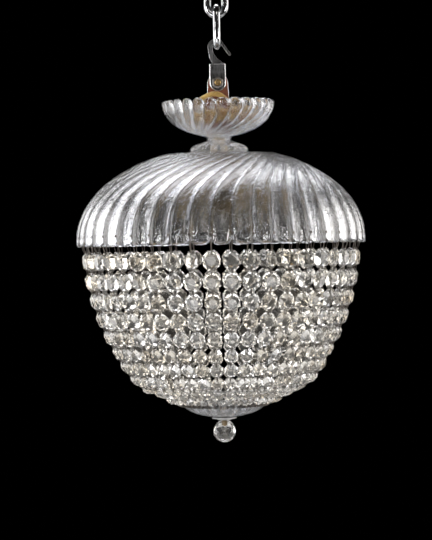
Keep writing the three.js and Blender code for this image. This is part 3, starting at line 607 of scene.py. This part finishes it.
def sweep_grid(points, sides, section, closed=False):
    """A tube along points. section(side share, index) gives a corner's distance from the line."""
    bm = bmesh.new()
    bm.loops.layers.uv.new("braid")
    rows = len(points) - (0 if closed else 1)
    bmesh.ops.create_grid(bm, x_segments=sides, y_segments=rows, size=1, calc_uvs=True)
    following = points[1:] + [points[0]] if closed else points[1:] + [2 * points[-1] - points[-2]]
    headings = [(b - a).normalized() for a, b in zip(points, following)]
    across = headings[0].orthogonal().normalized()
    frames = []
    for point, heading in zip(points, headings):
        across = (across - heading * across.dot(heading)).normalized()
        frames.append((point, across.copy(), heading.cross(across)))
    if closed:
        frames.append(frames[0])
    for vert in bm.verts:
        row = round((vert.co.y + 1) / 2 * rows)
        share = (vert.co.x + 1) / 2
        point, side, up = frames[row]
        reach = section(share, row)
        vert.co = point + side * reach * math.cos(2 * math.pi * share) + up * reach * math.sin(
            2 * math.pi * share)
    bmesh.ops.remove_doubles(bm, verts=bm.verts[:], dist=1e-3)
    if not closed:
        bmesh.ops.holes_fill(bm, edges=[edge for edge in bm.edges if edge.is_boundary], sides=0)
    return faced(bm)


def flex_cord():
    lead_start = Vector((0, 0, stem_top + CLEAR))
    turns = coil_line(480)
    inward = (turns[1] - turns[0]).normalized()
    meet = turns[0] - inward * CLEAR
    route = [lead_start] + [Vector((x, y, bowl_floor + up)) for x, y, up in FLEX_ROUTE]
    route += [meet - inward * flex.diameter / 2, meet]
    line = evenly(centripetal(route, 16) + turns, 1.0)
    lay = 2 * math.pi / flex.core_twist # the cores' turn from one millimetre to the next

    def twisted(share, row):
        """The distance to the outside of three cores twisted together."""
        around = 2 * math.pi * share + lay * row
        return flex.diameter / 2 * (0.8 + 0.2 * abs(math.cos(1.5 * around)) ** 0.7)

    cord = place(
        "silk_flex", sweep_grid(line, 24, twisted), [silk_braid], "silk_flex",
        ("flex_lead", "flex_coil"), smooth=60)
    length = sum((b - a).length for a, b in zip(line, line[1:]))
    return cord, line, length, turns


flex_piece, flex_line, flex_length, flex_turns = flex_cord()


def connector_block(turns):
    """A two-way connector at the flex's end: a bar with two clamp barrels and a screw on each."""
    end, before = (COIL_PLACE.inverted() @ point for point in (turns[-1], turns[-2]))
    heading = end - before
    heading.z = 0
    heading.normalize()
    centre = end + heading * (block.length / 2 + CLEAR)
    aim = COIL_PLACE @ shifted(centre.x, centre.y, centre.z + block.lift) @ rotated(
        math.atan2(heading.y, heading.x), "Z")
    bar = soft_box((block.length, block.width, block.thick), block.edge, 3)
    screws = bmesh.new()
    for y in (-block.width / 4, block.width / 4):
        add_rod(bar, 24, block.barrel_radius, block.barrel_radius, block.length - 0.6,
                shifted(0, y, 0) @ rotated(math.pi / 2, "Y"))
        for x in (-block.length / 4, block.length / 4):
            add_rod(bar, 20, block.tower_radius, block.tower_top, block.tower_height,
                    shifted(x, y, block.tower_lift))
            add_rod(screws, 18, block.screw_radius, block.screw_radius, block.screw_height,
                    shifted(x, y, block.screw_lift))
    body = place(
        "connector_bar", move(bar, aim), [block_plastic], "holder_plastic", ("terminal_block",), 40)
    return body, place("connector_screws", move(screws, aim), [brass], "brass", smooth=40)


connector = connector_block(flex_turns)


# Chain and hook
def chain_link(name, body, inner_top, turn, node):
    """A round wire link. What would stand above the lamp's own box at the crown is pressed down to it."""
    bm = bmesh.new()
    bend = (chain.inner_width + chain.wire) / 2
    straight = chain.inner_length - chain.inner_width
    top = Vector((0, 0, inner_top - chain.inner_width / 2))
    bottom = top - Vector((0, 0, straight))
    bmesh.ops.create_circle(
        bm, segments=32, radius=chain.wire / 2, matrix=shifted(top.x + bend, top.y, top.z))
    first = bm.edges[:]

    def half_turn(edges, centre):
        verts = list(dict.fromkeys(vert for edge in edges for vert in edge.verts))
        spun = bmesh.ops.spin(
            bm, geom=verts + edges, cent=centre, axis=(0, -1, 0), angle=math.pi, steps=28)
        return [part for part in spun["geom_last"] if isinstance(part, bmesh.types.BMEdge)]

    side = bmesh.ops.extrude_edge_only(bm, edges=half_turn(first, top))["geom"]
    bmesh.ops.translate(
        bm, vec=bottom - top, verts=[part for part in side if isinstance(part, bmesh.types.BMVert)])
    lower = [part for part in side if isinstance(part, bmesh.types.BMEdge)]
    bmesh.ops.bridge_loops(bm, edges=half_turn(lower, bottom) + first)
    move(faced(bm), rotated(turn, "Z"))
    crown = [vert for vert in bm.verts if vert.co.z > 0]
    bmesh.ops.scale(bm, vec=(1, 1, cad_box[1][2] / MM / chain.wire), verts=crown)
    place(name, bm, [chain_steel], "chain_steel", (node,), 60, body)


chain_link("upper_link_round_wire", "upper_link", 0, 0, "upper_chain_link")
chain_link("lower_link_round_wire", "lower_link", lower_link_top, math.pi / 2, "lower_chain_link")


def hook_fork():
    """The hook's arm, its two cheeks, and the bridge between them a little inside their edges."""
    flare = math.radians(hook.flare_angle)
    leave = math.radians(hook.leave_angle)
    along = Vector((math.sin(flare), -math.cos(flare))) * hook.flare_length
    outward = Vector((math.cos(flare), math.sin(flare)))
    outer_centre = Vector((-hook.outer_shift, hook_centre))
    outer_end = outer_centre + hook.outer_radius * outward
    inner_end = Vector((0, hook_centre)) + hook.inner_radius * outward
    shoulder = hook_centre - hook.shoulder_drop
    neck = hook_centre - hook.neck_drop
    foot = shoulder - hook.bridge / 2
    half = hook.half_width
    bm = bmesh.new()
    pen = Outline(bm, -half, foot)
    pen.line((-half, shoulder), (-hook.neck_half, shoulder + hook.shoulder_slope))
    pen.curve(
        (outer_centre.x - hook.outer_radius, neck),
        outer_centre + hook.outer_radius * Vector((math.cos(leave), math.sin(leave))))
    pen.arc(outer_centre, hook.flare_angle - hook.leave_angle, 28)
    pen.line(outer_end + along)
    pen.arc((outer_end + inner_end) / 2 + along, -180, 8)
    pen.line(inner_end)
    pen.arc((0, hook_centre), hook.leave_angle - hook.flare_angle, 24)
    pen.curve(
        (-hook.inner_radius, neck), (half - hook.shoulder_corner, shoulder + hook.shoulder_corner))
    pen.line((half, shoulder), (half, foot), (-half, foot))
    shapes = [("hook_arm", bm, 0)]
    for name, side in (("hook_front_cheek", -1), ("hook_rear_cheek", 1)):
        bm = bmesh.new()
        pen = Outline(bm, -half, pivot)
        pen.line((-half, shoulder), (half, shoulder), (half, pivot))
        pen.arc((0, pivot), -180, 24)
        bmesh.ops.create_circle(bm, segments=32, radius=bolt_bore, matrix=shifted(0, pivot, 0))
        shapes.append((name, bm, side * (cheek_inside + hook.thickness / 2)))
    for name, bm, middle in shapes:
        move(fill_flat(bm), STAND_UP, shifted(0, middle, 0))
        # The plates' cut edges take the second, lighter material: a painted highlight.
        plate = place(name, bm, [plate_steel, edge_highlight_steel], "dark_steel", ("hook_fork",), body="hook")
        thicken(plate, hook.thickness, hook.soft_edge, rim_slot=1)
    bridge = soft_box((2 * half - 0.2, 2 * cheek_outside - 0.8, hook.bridge - 0.2), 0.3, 2, foot)
    place("hook_bridge", bridge, [plate_steel], "dark_steel", ("hook_fork",), 40, "hook")


hook_fork()


# Pivot
def pivot_pieces():
    head = cheek_outside + CLEAR
    end = -(head + bolt_nut.thick + bolt.end_out)
    top = head + bolt.head_thick
    thread = ridges(bolt.radius, bolt.thread_depth, end + bolt.edge, bolt.thread_pitch, 16)
    shaft = turned([
        (0, end), (bolt.radius - bolt.edge, end), *thread, (bolt.radius, head),
        (bolt.head_radius, head), (bolt.head_radius, top - bolt.edge),
        (bolt.head_radius - 0.3, top - 0.3), (bolt.head_radius - bolt.edge, top), (0, top)])
    place("pivot_bolt_threaded", move(shaft, ALONG_PIVOT), [brass], "brass", ("pivot_bolt",), 35)
    hex_nut("pivot_hex_nut", bolt_nut, bolt_bore, "pivot_nut",
            shifted(0, 0, -head - bolt_nut.thick / 2), ALONG_PIVOT)
    half = clevis.gap / 2 - CLEAR
    sleeve = move(ring(bolt_bore, spacer_radius, -half, half), ALONG_PIVOT)
    place("pivot_sleeve", sleeve, [zinc], "zinc", ("pivot_spacer",), 35)


pivot_pieces()


def stirrup():
    """A strap bent to a U: one leg, its bend and half the floor, mirrored to the back."""
    middle = clevis.bend - clevis.strap / 2
    bend_height = clevis_floor - clevis.strap + clevis.bend
    bend_centre = clevis.bend - leg_outside
    leg = bmesh.new()
    pen = Outline(leg, clevis.base_half, bend_height)
    pen.line((clevis.top_half, pivot))
    pen.arc((0, pivot), 180, 28)
    pen.line((-clevis.base_half, bend_height), (clevis.base_half, bend_height))
    bmesh.ops.create_circle(leg, segments=32, radius=bolt_bore, matrix=shifted(0, pivot, 0))
    move(fill_flat(leg), STAND_UP, shifted(0, bend_centre - middle, 0))
    foot = [edge for edge in leg.edges
            if all(abs(vert.co.z - bend_height) < 0.01 for vert in edge.verts)]
    foot_ends = [vert for edge in foot for vert in edge.verts]
    bmesh.ops.spin(
        leg, geom=foot_ends + foot, cent=(0, bend_centre, bend_height), axis=(1, 0, 0),
        angle=math.pi / 2, steps=8)
    floor = bmesh.new()
    pen = Outline(floor, -clevis.base_half, bend_centre)
    pen.line((-clevis.base_half, 0), (-bore_radius, 0))
    pen.arc((0, 0), 180, 16)
    pen.line((clevis.base_half, 0), (clevis.base_half, bend_centre), (-clevis.base_half, bend_centre))
    join(leg, move(fill_flat(floor), shifted(0, 0, clevis_floor - clevis.strap / 2)))
    bmesh.ops.mirror(leg, geom=leg.verts[:] + leg.edges[:] + leg.faces[:], axis="Y", merge_dist=0.01)
    # The strap's cut edges take the second, lighter material: a painted highlight.
    strap = place("stirrup_strap", faced(leg, 0.01), [bronze, edge_highlight_steel], "bronze", ("stirrup",))
    thicken(strap, clevis.strap, clevis.soft_edge, rim_slot=1)


stirrup()


# Stem and clamping pieces
def stem_pieces():
    bottom = hub_top - stem.into_hub
    neck = stem.radius - stem.edge
    pitch = stem.thread_pitch
    count = int((stem_top - bottom - 2 * pitch) / pitch) + 1
    thread = ridges(stem.radius, stem.thread_depth, bottom + pitch, pitch, count)
    tube = turned(
        [(stem.bore, bottom), (neck, bottom), *thread, (neck, stem_top), (stem.bore, stem_top)],
        40, closed=True)
    place("stem_threaded_tube", tube, [brass], "brass", ("stem_tube",), 50)
    for name, top, node in (
            ("stem_hex_nut", clevis_floor + CLEAR + stem_nut.thick, "stem_top_nut"),
            ("dome_hex_nut", lock_nut_top, "dome_lock_nut")):
        hex_nut(name, stem_nut, bore_radius, node, shifted(0, 0, top - stem_nut.thick / 2))
    seat = ring(bore_radius, washer.radius, washer_top - washer.thick, washer_top)
    place("bowl_seat_washer", seat, [brass], "brass", ("bowl_washer",), 35)
    plate = ring(bore_radius, dome_plate.radius, plate_top - dome_plate.thick, plate_top, 0.5, 72)
    place("dome_clamp_plate", plate, [tarnished_brass], "brass", ("dome_plate",), 35)
    inner = flex.diameter / 2 + 0.1
    low = stem_top + 0.1
    high = stem_top + 1.8
    bush = turned(
        [(inner, low), (stem.radius - 0.5, low), (stem.radius - 0.5, stem_top + 1.2),
         (stem.radius - 1.2, high), (inner, high)], 32, closed=True)
    place("flex_bush", bush, [bush_rubber], "holder_plastic", smooth=40)


stem_pieces()


# Pressed glass
FRONT = math.radians(-90)
RIB_SHARPNESS = 0.94
STREAKS_PER_RIB = 3
STREAK_SLANT = 0.7


def lobed_shell(rows, sizes, first_lobe, rim, columns, streak=12.0):
    """A glass wall about Z with swirled ribs. rows are its section, a closed loop of radius, height
    and how far the ribs show there. rim gives a height at a place across a rib, from 0 to 1."""
    bm = bmesh.new()
    ribbed = bm.verts.layers.float.new("ribbed")
    flow = bm.verts.layers.float_vector.new("flow")
    # The valley attribute is the mask for the painted shade in the grooves between the ribs.
    groove_shade_mask = bm.verts.layers.float.new("valley")
    verts = []
    for radius, height, share in rows:
        vert = bm.verts.new((radius, 0, height))
        vert[ribbed] = share
        verts.append(vert)
    edges = [bm.edges.new(pair) for pair in zip(verts, verts[1:] + verts[:1])]
    spin_round(bm, verts + edges, sizes.lobes * columns)
    full = 1 - math.sqrt(1 - RIB_SHARPNESS ** 2)
    reach = sizes.lobes * STREAKS_PER_RIB / (2 * math.pi)
    for vert in bm.verts:
        radius = math.hypot(vert.co.x, vert.co.y)
        around = math.atan2(vert.co.y, vert.co.x)
        height = vert.co.z
        phase = around * sizes.lobes / (2 * math.pi)
        across = min(1.0, 2 * abs(phase - round(phase)))
        valley = (1 - math.sqrt(1 - (RIB_SHARPNESS * across) ** 2)) / full
        vert[flow] = polar(reach, around, (height - STREAK_SLANT * radius) / streak)
        vert[groove_shade_mask] = across * vert[ribbed]
        ribs = max(0, radius - sizes.ribs_from) / (sizes.radius - sizes.ribs_from)
        depth = sizes.lobe_depth * ribs ** sizes.depth_power
        swirl = math.radians(sizes.twist * max(0, 1 - radius / sizes.radius) ** sizes.twist_power)
        vert.co = polar(
            radius - vert[ribbed] * depth * valley, first_lobe + around + swirl, rim(height, across))
    return faced(bm, 1e-3)


def scalloped(begin, edge, middle, rib, groove):
    """Heights between begin and the edge are stretched, so that the edge lies at the middle height
    plus rib on a rib's crest, and plus groove in a groove."""
    def rim(height, across):
        share = (height - begin) / (edge - begin)
        wave = groove + (rib - groove) * math.sqrt(1 - across ** 2)
        return begin + share * (middle - begin + wave) if share > 0 else height

    return rim


def glass_dome():
    inner_radius = valley_radius - dome.wall
    inner_bulge = dome.bulge - dome.wall
    top_angle = math.degrees(math.asin(dome.rise / dome.bulge))
    inner_top = math.degrees(math.asin((dome.rise - dome.wall) / inner_bulge))
    low = rim_line - dome.skirt
    rows = [(radius, dome_top, 1) for radius in (bore_radius, 12, 20, 28, 36)]
    rows += arc(dome.radius, rim_line, dome.bulge, top_angle, 0, 44, 1)
    rows += [
        (dome.radius, rim_line - 2, 1), (dome.radius, low + 1.3, 1), (dome.radius - 0.7, low + 0.4, 0.9),
        (dome.radius - 2, low, 0.75), (inner_radius + 1.6, low, 0.2),
        (inner_radius + 0.5, low + 0.5, 0.06), (inner_radius, low + 1.5, 0)]
    rows += arc(inner_radius, rim_line, inner_bulge, 0, inner_top, 26, 0)
    rows += [(radius, dome_top - dome.wall, 0) for radius in (32, 20, bore_radius)]
    rim = scalloped(rim_line + 14, low, rim_line, -dome.skirt, dome.notch)
    place("dome_swirled_glass", lobed_shell(rows, dome, FRONT, rim, 10), [glass], "pressed_glass",
          ("glass_dome",), 38)


glass_dome()


def glass_bowl():
    rim_height = bowl_bottom + bowl.depth
    half = bowl.scallop / 2
    inner_radius = bowl.radius - bowl.wall - bowl.lobe_depth
    top = rim_height + half
    rows = [(bore_radius, bowl_bottom, 0), (bowl.foot_radius - 1, bowl_bottom, 0)]
    rows += arc(bowl.radius, rim_height, bowl.depth, -76, 0, 26, 1)
    rows += [
        (bowl.radius, top - 1.2, 1), (bowl.radius - 0.6, top - 0.35, 0.85),
        (bowl.radius - 1.7, top, 0.7), (inner_radius + 1.4, top, 0.2),
        (inner_radius + 0.4, top - 0.5, 0.05), (inner_radius, top - 1.4, 0)]
    rows += arc(inner_radius, rim_height, bowl.depth - bowl.floor, 0, -74, 18, 0)
    rows += [(washer.radius + CLEAR, bowl_floor, 0), (bore_radius, bowl_floor, 0)]
    rim = scalloped(rim_height - 10, top, rim_height, half, -half)
    bm = lobed_shell(rows, bowl, FRONT + math.radians(bowl.front_lobe), rim, 12)
    place("bowl_scalloped_glass", bm, [glass], "pressed_glass", ("glass_bowl",), 38)


glass_bowl()


def glass_knop():
    outline = catmull([Vector(pair) for pair in KNOP_OUTLINE], 5)
    rows = [(bore_radius, knop_foot, 0)]
    rows += [(point.x, knop_foot + point.y, 1) for point in outline]
    rows += [(bore_radius, knop_top, 0)]
    bm = lobed_shell(rows, knop, 0, lambda height, across: height, 10, streak=6.0)
    place("knop_beaded_glass", bm, [glass], "pressed_glass", ("glass_knop",), 45)


glass_knop()


def glass_dish():
    half = dish.scallop / 2
    top = dish_rim + half
    inner_radius = dish.radius - dish.wall
    rows = [(dish.bore, dish_bottom, 0), (7, dish_bottom, 0.3)]
    rows += arc(dish.radius, dish_rim, dish.height, -76, 0, 20, 1, power=dish.roundness)
    rows += [
        (dish.radius - 0.4, top - 0.3, 0.9), (dish.radius - 1.3, top, 0.7),
        (inner_radius + 1, top, 0.2), (inner_radius, top - 0.7, 0)]
    rows += arc(
        inner_radius, dish_rim, dish.height - dish.wall, -2, -72, 14, 0, power=dish.roundness)
    floor = dish_bottom + dish.wall
    rows += [(pin.washer_radius + CLEAR, floor, 0), (dish.bore, floor, 0)]
    rim = scalloped(dish_rim - 5, top, dish_rim, half, -half)
    bm = lobed_shell(rows, dish, FRONT, rim, 12, streak=8.0)
    place("dish_fluted_glass", bm, [fluted_glass], "pressed_glass", ("glass_dish",), 38)


glass_dish()


# Lamp cluster, lampholders and bulbs
def lamp_cluster():
    hub_middle = Vector((0, 0, hub_top - hub.height / 2))
    bottom = hub_top - hub.height
    socket = hub_top - stem.into_hub - CLEAR
    body = turned([
        (bore_radius, hub_top), (hub.radius - 1, hub_top), (hub.radius, hub_top - 1),
        (hub.radius, bottom + 1), (hub.radius - 1, bottom), (6, bottom), (5, bottom - 0.01),
        (0, bottom - 0.01), (0, socket), (bore_radius, socket)], 48, closed=True)
    place("cluster_hub", body, [tarnished_brass], "brass", ("lamp_cluster",), 35)
    slope = math.radians(hub.arm_slope)
    bore = hub.arm_radius + CLEAR
    step = holder.length - holder.mouth_depth
    grip = ridges(holder.radius, holder.grip_depth, holder.grip_start, holder.grip_pitch, 16)
    cap = holder.mouth_depth
    globe = arc(
        bulb.globe_radius, bulb.length - bulb.globe_radius, bulb.globe_radius, -58, 89, 22)
    for i in range(hub.arms):
        turn = math.radians(holder.first_angle) + 2 * math.pi * i / hub.arms
        direction = polar(math.cos(slope), turn, -math.sin(slope))
        stand = Vector((0, 0, 1)).rotation_difference(direction).to_matrix().to_4x4()
        at_hub = shifted(*hub_middle) @ stand
        at_holder = shifted(*(hub_middle + direction * (hub.arm_reach - holder.overlap))) @ stand
        arm = turned([
            (0, hub.arm_start), (hub.arm_radius, hub.arm_start),
            (hub.arm_radius, hub.arm_reach - 0.6), (hub.arm_radius - 0.6, hub.arm_reach),
            (0, hub.arm_reach)], 32)
        place(f"cluster_arm_{i + 1}", move(arm, at_hub), [tarnished_brass], "brass", smooth=35)
        sleeve = turned([
            (bore, 0), (holder.radius - 3.4, 0), (holder.radius - 2, 1.2), (holder.radius - 1.2, 8),
            (holder.radius, 10), (holder.radius, 12.5), *grip, (holder.radius, 34), (holder.radius, 38),
            (holder.radius - 1.5, holder.length), (holder.mouth_radius, holder.length),
            (holder.mouth_radius, step), (bore, step)], 48, closed=True)
        place(f"lampholder_shell_{i + 1}", move(sleeve, at_holder), [tarnished_brass], "brass",
              (f"lampholder_{i + 1}",), 40)
        glass_bulb = turned([
            (0, 0), (bulb.cap_radius, 0), (bulb.cap_radius, cap), (bulb.cap_radius + 1.6, cap + 1.2),
            (bulb.neck_radius, cap + 3), *globe, (0, bulb.length)], 40)
        place(f"bulb_globe_{i + 1}", move(glass_bulb, at_holder @ shifted(0, 0, step + CLEAR)),
              [frosted], "bulb_glass", (f"bulb_{i + 1}",), 50)


lamp_cluster()


# Finial
def finial():
    seat = ring(
        pin.radius + CLEAR, pin.washer_radius, pin_washer_bottom, pin_washer_bottom + pin.washer_thick)
    place("finial_seat_washer", seat, [brass], "brass", ("finial_washer",), 35)
    end = ball_centre + ball.radius - pin.into_ball
    top = pin_head_bottom + pin.head_thick
    shank = turned([
        (0, end), (pin.radius - 0.4, end), (pin.radius, end + 0.5), (pin.radius, pin_head_bottom),
        (pin.head_radius, pin_head_bottom), (pin.head_radius, top - 1), (pin.head_radius - 1, top),
        (0, top)], 36)
    place("finial_screw", shank, [tarnished_brass], "brass", ("finial_pin",), 35)
    low = collar_top - collar.height
    lip = collar_top - collar.lip
    bore = pin.radius + CLEAR
    cup = turned([
        (bore, low), (collar.bottom_radius, low), (collar.bottom_radius + 0.6, low + 0.5),
        (collar.bottom_radius + 1.6, low + 1.4), (collar.top_radius - 1.4, lip - 0.2),
        (collar.top_radius, lip + 0.2), (collar.top_radius, collar_top - 0.2),
        (collar.top_radius - 0.3, collar_top), (bore, collar_top)], 56, closed=True)
    place("finial_cup", cup, [zinc], "zinc", ("finial_collar",), 35)
    rings = arc(ball.radius, ball_centre, ball.radius, -80, 80, 9)
    bm = cut_stone(10, [(*pair, math.pi / 10 * (row % 2)) for row, pair in enumerate(rings)])
    tint = bm.verts.layers.float.new("tint")
    for vert in bm.verts:
        vert[tint] = 0.1
    place("finial_cut_ball", bm, [crystal], "crystal", ("finial_ball",))


finial()


# Bead strands
OUTLINE_SHARE = 1 / math.cos(math.pi / 8) # corner radius of an octagon over half its width
TABLE_SHARE = 0.52
GIRDLE = 0.05


def unit_bead():
    """An octagon bead of width 1 with its hole line along Y: a table, kite facets and a thin girdle."""
    table = 0.5 * OUTLINE_SHARE * TABLE_SHARE
    girdle = 0.5 * OUTLINE_SHARE
    return mesh_of("unit_bead", cut_stone(8, (
        (table, -0.5, 0), (girdle, -GIRDLE, math.pi / 8), (girdle, GIRDLE, math.pi / 8),
        (table, 0.5, 0))))


def unit_rod():
    bm = bmesh.new()
    add_rod(bm, 6, 1, 1, 1, Matrix())
    return mesh_of("unit_rod", bm)


def add_copy(bm, mesh, matrix):
    """Adds a copy of a mesh and gives back its corners."""
    count = len(bm.verts)
    bm.from_mesh(mesh)
    bm.verts.ensure_lookup_table()
    new = bm.verts[count:]
    bmesh.ops.transform(bm, matrix=matrix, verts=new)
    return new


def strand_places():
    """Each bead's centre, direction and length on the strand's line, in the plane of radius and
    height, with the places of its two holes."""
    line = [Vector((foot_radius + share * (wire_turn - foot_radius), rim_line + rise))
            for share, rise in STRAND_LINE]
    fine = evenly(catmull(line, 60), 0.25)
    total = sum((b - a).length for a, b in zip(fine, fine[1:]))
    used = sum(strand.bead_sizes) + strand.gap * (len(strand.bead_sizes) - 1)
    scale = (total - strand.foot_wire) / used

    def at(distance):
        place_on = distance / total * (len(fine) - 1)
        k = min(int(place_on), len(fine) - 2)
        return fine[k].lerp(fine[k + 1], place_on - k)

    found, run = [], 0.0
    for size in strand.bead_sizes:
        long = size * scale
        middle = at(run + long / 2)
        heading = (at(run + long / 2 + 1) - at(run + long / 2 - 1)).normalized()
        inset = strand.hole_inset * size
        found.append(Sizes(
            size=size, long=long, centre=middle, heading=heading,
            top=middle - heading * (long / 2 - inset), foot=middle + heading * (long / 2 - inset),
            inset=inset))
        run += (size + strand.gap) * scale
    return found


def bead_turn(width, thick, radius):
    """How far a bead is turned on its strand to clear its neighbours."""
    room = 2 * math.pi * radius / dome.lobes - CLEAR
    if room >= width:
        return 0.0
    share = (1 / room ** 2 - 1 / width ** 2) / (1 / thick ** 2 - 1 / width ** 2)
    return math.asin(math.sqrt(min(1, share)))


BEADS = strand_places()
BEAD_MESH = unit_bead()
ROD_MESH = unit_rod()


def wire_loop(bm, one, two, across, angle):
    """A flat oval of wire through two points of a strand's plane. across is its half width."""
    middle, half = (one + two) / 2, (two - one) / 2
    side = Vector((-half.y, half.x)).normalized() * across
    points = []
    for i in range(10):
        turn = 2 * math.pi * i / 10
        spot = middle + half * math.cos(turn) + side * math.sin(turn)
        points.append(polar(spot.x, angle, spot.y))
    join(bm, sweep_grid(points, 4, lambda share, row: strand.wire_radius, closed=True))


def bead_strand(number, angle):
    """One strand: its beads, each a little turned, the wire loops that join them, and its pins in
    the dome's and the dish's holes. A few odd beads are turned further."""
    outward = polar(1, angle, 0)
    sideways = polar(1, angle + math.pi / 2, 0)
    beads, wires = bmesh.new(), bmesh.new()
    tint = beads.verts.layers.float.new("tint")
    rim_hole = Vector((valley_radius - dome.wall / 2, dome_hole_height))
    loops = [(rim_hole, BEADS[0].top, strand.rim_loop)]
    loops += [(a.foot, b.top, strand.loop) for a, b in zip(BEADS, BEADS[1:])]
    loops += [(BEADS[-1].foot, Vector((foot_radius - 1.5, foot_height)), strand.foot_loop)]
    for bead in BEADS:
        up = outward * -bead.heading.x - Vector((0, 0, bead.heading.y))
        normal = sideways.cross(up)
        centre = polar(bead.centre.x, angle, bead.centre.y)
        width, thick = bead.size * strand.width_share, bead.size * strand.thick_share
        least = bead_turn(width, thick, bead.centre.x)
        extra = abs(chance.gauss(0, strand.turn_spread))
        if chance.random() < strand.odd_share:
            extra += chance.uniform(strand.odd_least, strand.odd_most)
        turn = chance.choice((-1, 1)) * min(least + extra, math.pi / 2)
        lean = chance.gauss(0, strand.lean_spread)
        axes = Matrix((sideways, up, normal)).transposed().to_4x4()
        stand = shifted(*centre) @ axes @ rotated(turn, "Y") @ rotated(lean, "Z")
        warmth = chance.random()
        for vert in add_copy(beads, BEAD_MESH, stand @ scaled(width, bead.long, thick)):
            vert[tint] = warmth
        slope = (bead.long / 2) * (1 - TABLE_SHARE)
        depth = thick * (2 * GIRDLE + (1 - 2 * GIRDLE) * min(1, bead.inset / slope)) + 0.3
        hole = scaled(strand.hole_radius, strand.hole_radius, depth)
        for side in (-1, 1):
            add_copy(wires, ROD_MESH, stand @ shifted(0, side * (bead.long / 2 - bead.inset), 0) @ hole)
    for one, two, across in loops:
        wire_loop(wires, one, two, across, angle)
    rod_turn = rotated(angle, "Z") @ rotated(math.pi / 2, "Y")
    middle = polar(rim_hole.x, angle, rim_hole.y)
    add_copy(wires, ROD_MESH, shifted(*middle) @ rod_turn @ scaled(
        strand.rim_pin, strand.rim_pin, dome.wall + strand.rim_pin_out))
    low = polar((foot_radius + dish.radius - dish.pin_inside) / 2, angle, foot_height)
    add_copy(wires, ROD_MESH, shifted(*low) @ rod_turn @ scaled(
        strand.foot_pin_high, strand.foot_pin_wide, dish.strand_outside + dish.pin_inside))
    pair = f"crystal_strand_pair_{(number + 1) // 2:02d}"
    place(f"octagon_strand_{number:02d}", beads, [crystal], "crystal", (pair,))
    place(f"strand_wires_{number:02d}", wires, [pin_steel], "dark_steel", (pair,))


for number in range(1, dome.lobes + 1):
    bead_strand(number, FRONT + math.pi * (2 * number - 1) / dome.lobes)
for unit in (BEAD_MESH, ROD_MESH):
    bpy.data.meshes.remove(unit)


# Studio: a pale floor under the lamp, soft lights at both sides and a dark room behind
def pale_floor():
    material, tree, shader = new_material("pale_floor")
    drift = noise(tree, 3, 3)
    paint(tree, shader, "Base Color", drift, (0.3, (0.78, 0.78, 0.77)), (0.7, (0.74, 0.74, 0.73)))
    paint(tree, shader, "Roughness", drift, (0.3, 0.6), (0.7, 0.7))
    bm = bmesh.new()
    bmesh.ops.create_circle(bm, cap_ends=True, segments=96, radius=2.2)
    mesh = mesh_of("floor", bm)
    mesh.materials.append(material)
    floor = bpy.data.objects.new("floor", mesh)
    floor.location.z = -1.3
    scene.collection.objects.link(floor)


pale_floor()

MIDDLE = Vector((0, 0, -0.25))
for name, spot, width, height, power, colour in (
        ("left_light", (-1.4, 0.35, -0.1), 1.3, 1.6, 19, (1, 1, 1)),
        ("right_light", (1.5, 0.35, -0.1), 1.2, 1.6, 16, (1.0, 0.98, 0.95)),
        ("left_strip", (-1.2, -1.3, -0.2), 0.24, 0.7, 12, (1, 1, 1)),
        ("right_strip", (1.3, -1.2, -0.2), 0.24, 0.7, 11, (1, 1, 1)),
        ("top_light", (-0.2, 0.8, 1.3), 1.8, 0.9, 34, (0.95, 0.96, 1.0)),
        ("front_light", (0.4, -2.8, 1.3), 1.7, 1.3, 12, (1.0, 0.97, 0.92)),
        ("low_light", (-0.4, -1.5, -1.0), 1.5, 0.8, 13, (1, 1, 1))):
    light = bpy.data.lights.new(name, "AREA")
    light.shape = "RECTANGLE"
    light.size = width
    light.size_y = height
    light.energy = power
    light.color = colour
    softbox = bpy.data.objects.new(name, light)
    softbox.location = spot
    softbox.rotation_euler = (MIDDLE - Vector(spot)).to_track_quat("-Z", "Z").to_euler()
    scene.collection.objects.link(softbox)

ROOM_GLOW = 0.008
world = bpy.data.worlds.new("dark_room")
scene.world = world
world.use_nodes = True
background = world.node_tree.nodes["Background"]
rays = add_node(world.node_tree, "ShaderNodeLightPath")
dim = add_node(world.node_tree, "ShaderNodeMath", {0: 1.0, 1: rays.outputs["Is Camera Ray"]},
               operation="SUBTRACT")
level = add_node(
    world.node_tree, "ShaderNodeMath", {0: dim.outputs[0], 1: ROOM_GLOW}, operation="MULTIPLY")
world.node_tree.links.new(level.outputs[0], background.inputs["Strength"])
background.inputs["Color"].default_value = (1.0, 0.97, 0.92, 1)

scene.view_settings.view_transform = "Standard"
scene.cycles.max_bounces = 24
scene.cycles.transmission_bounces = 24
scene.cycles.glossy_bounces = 8
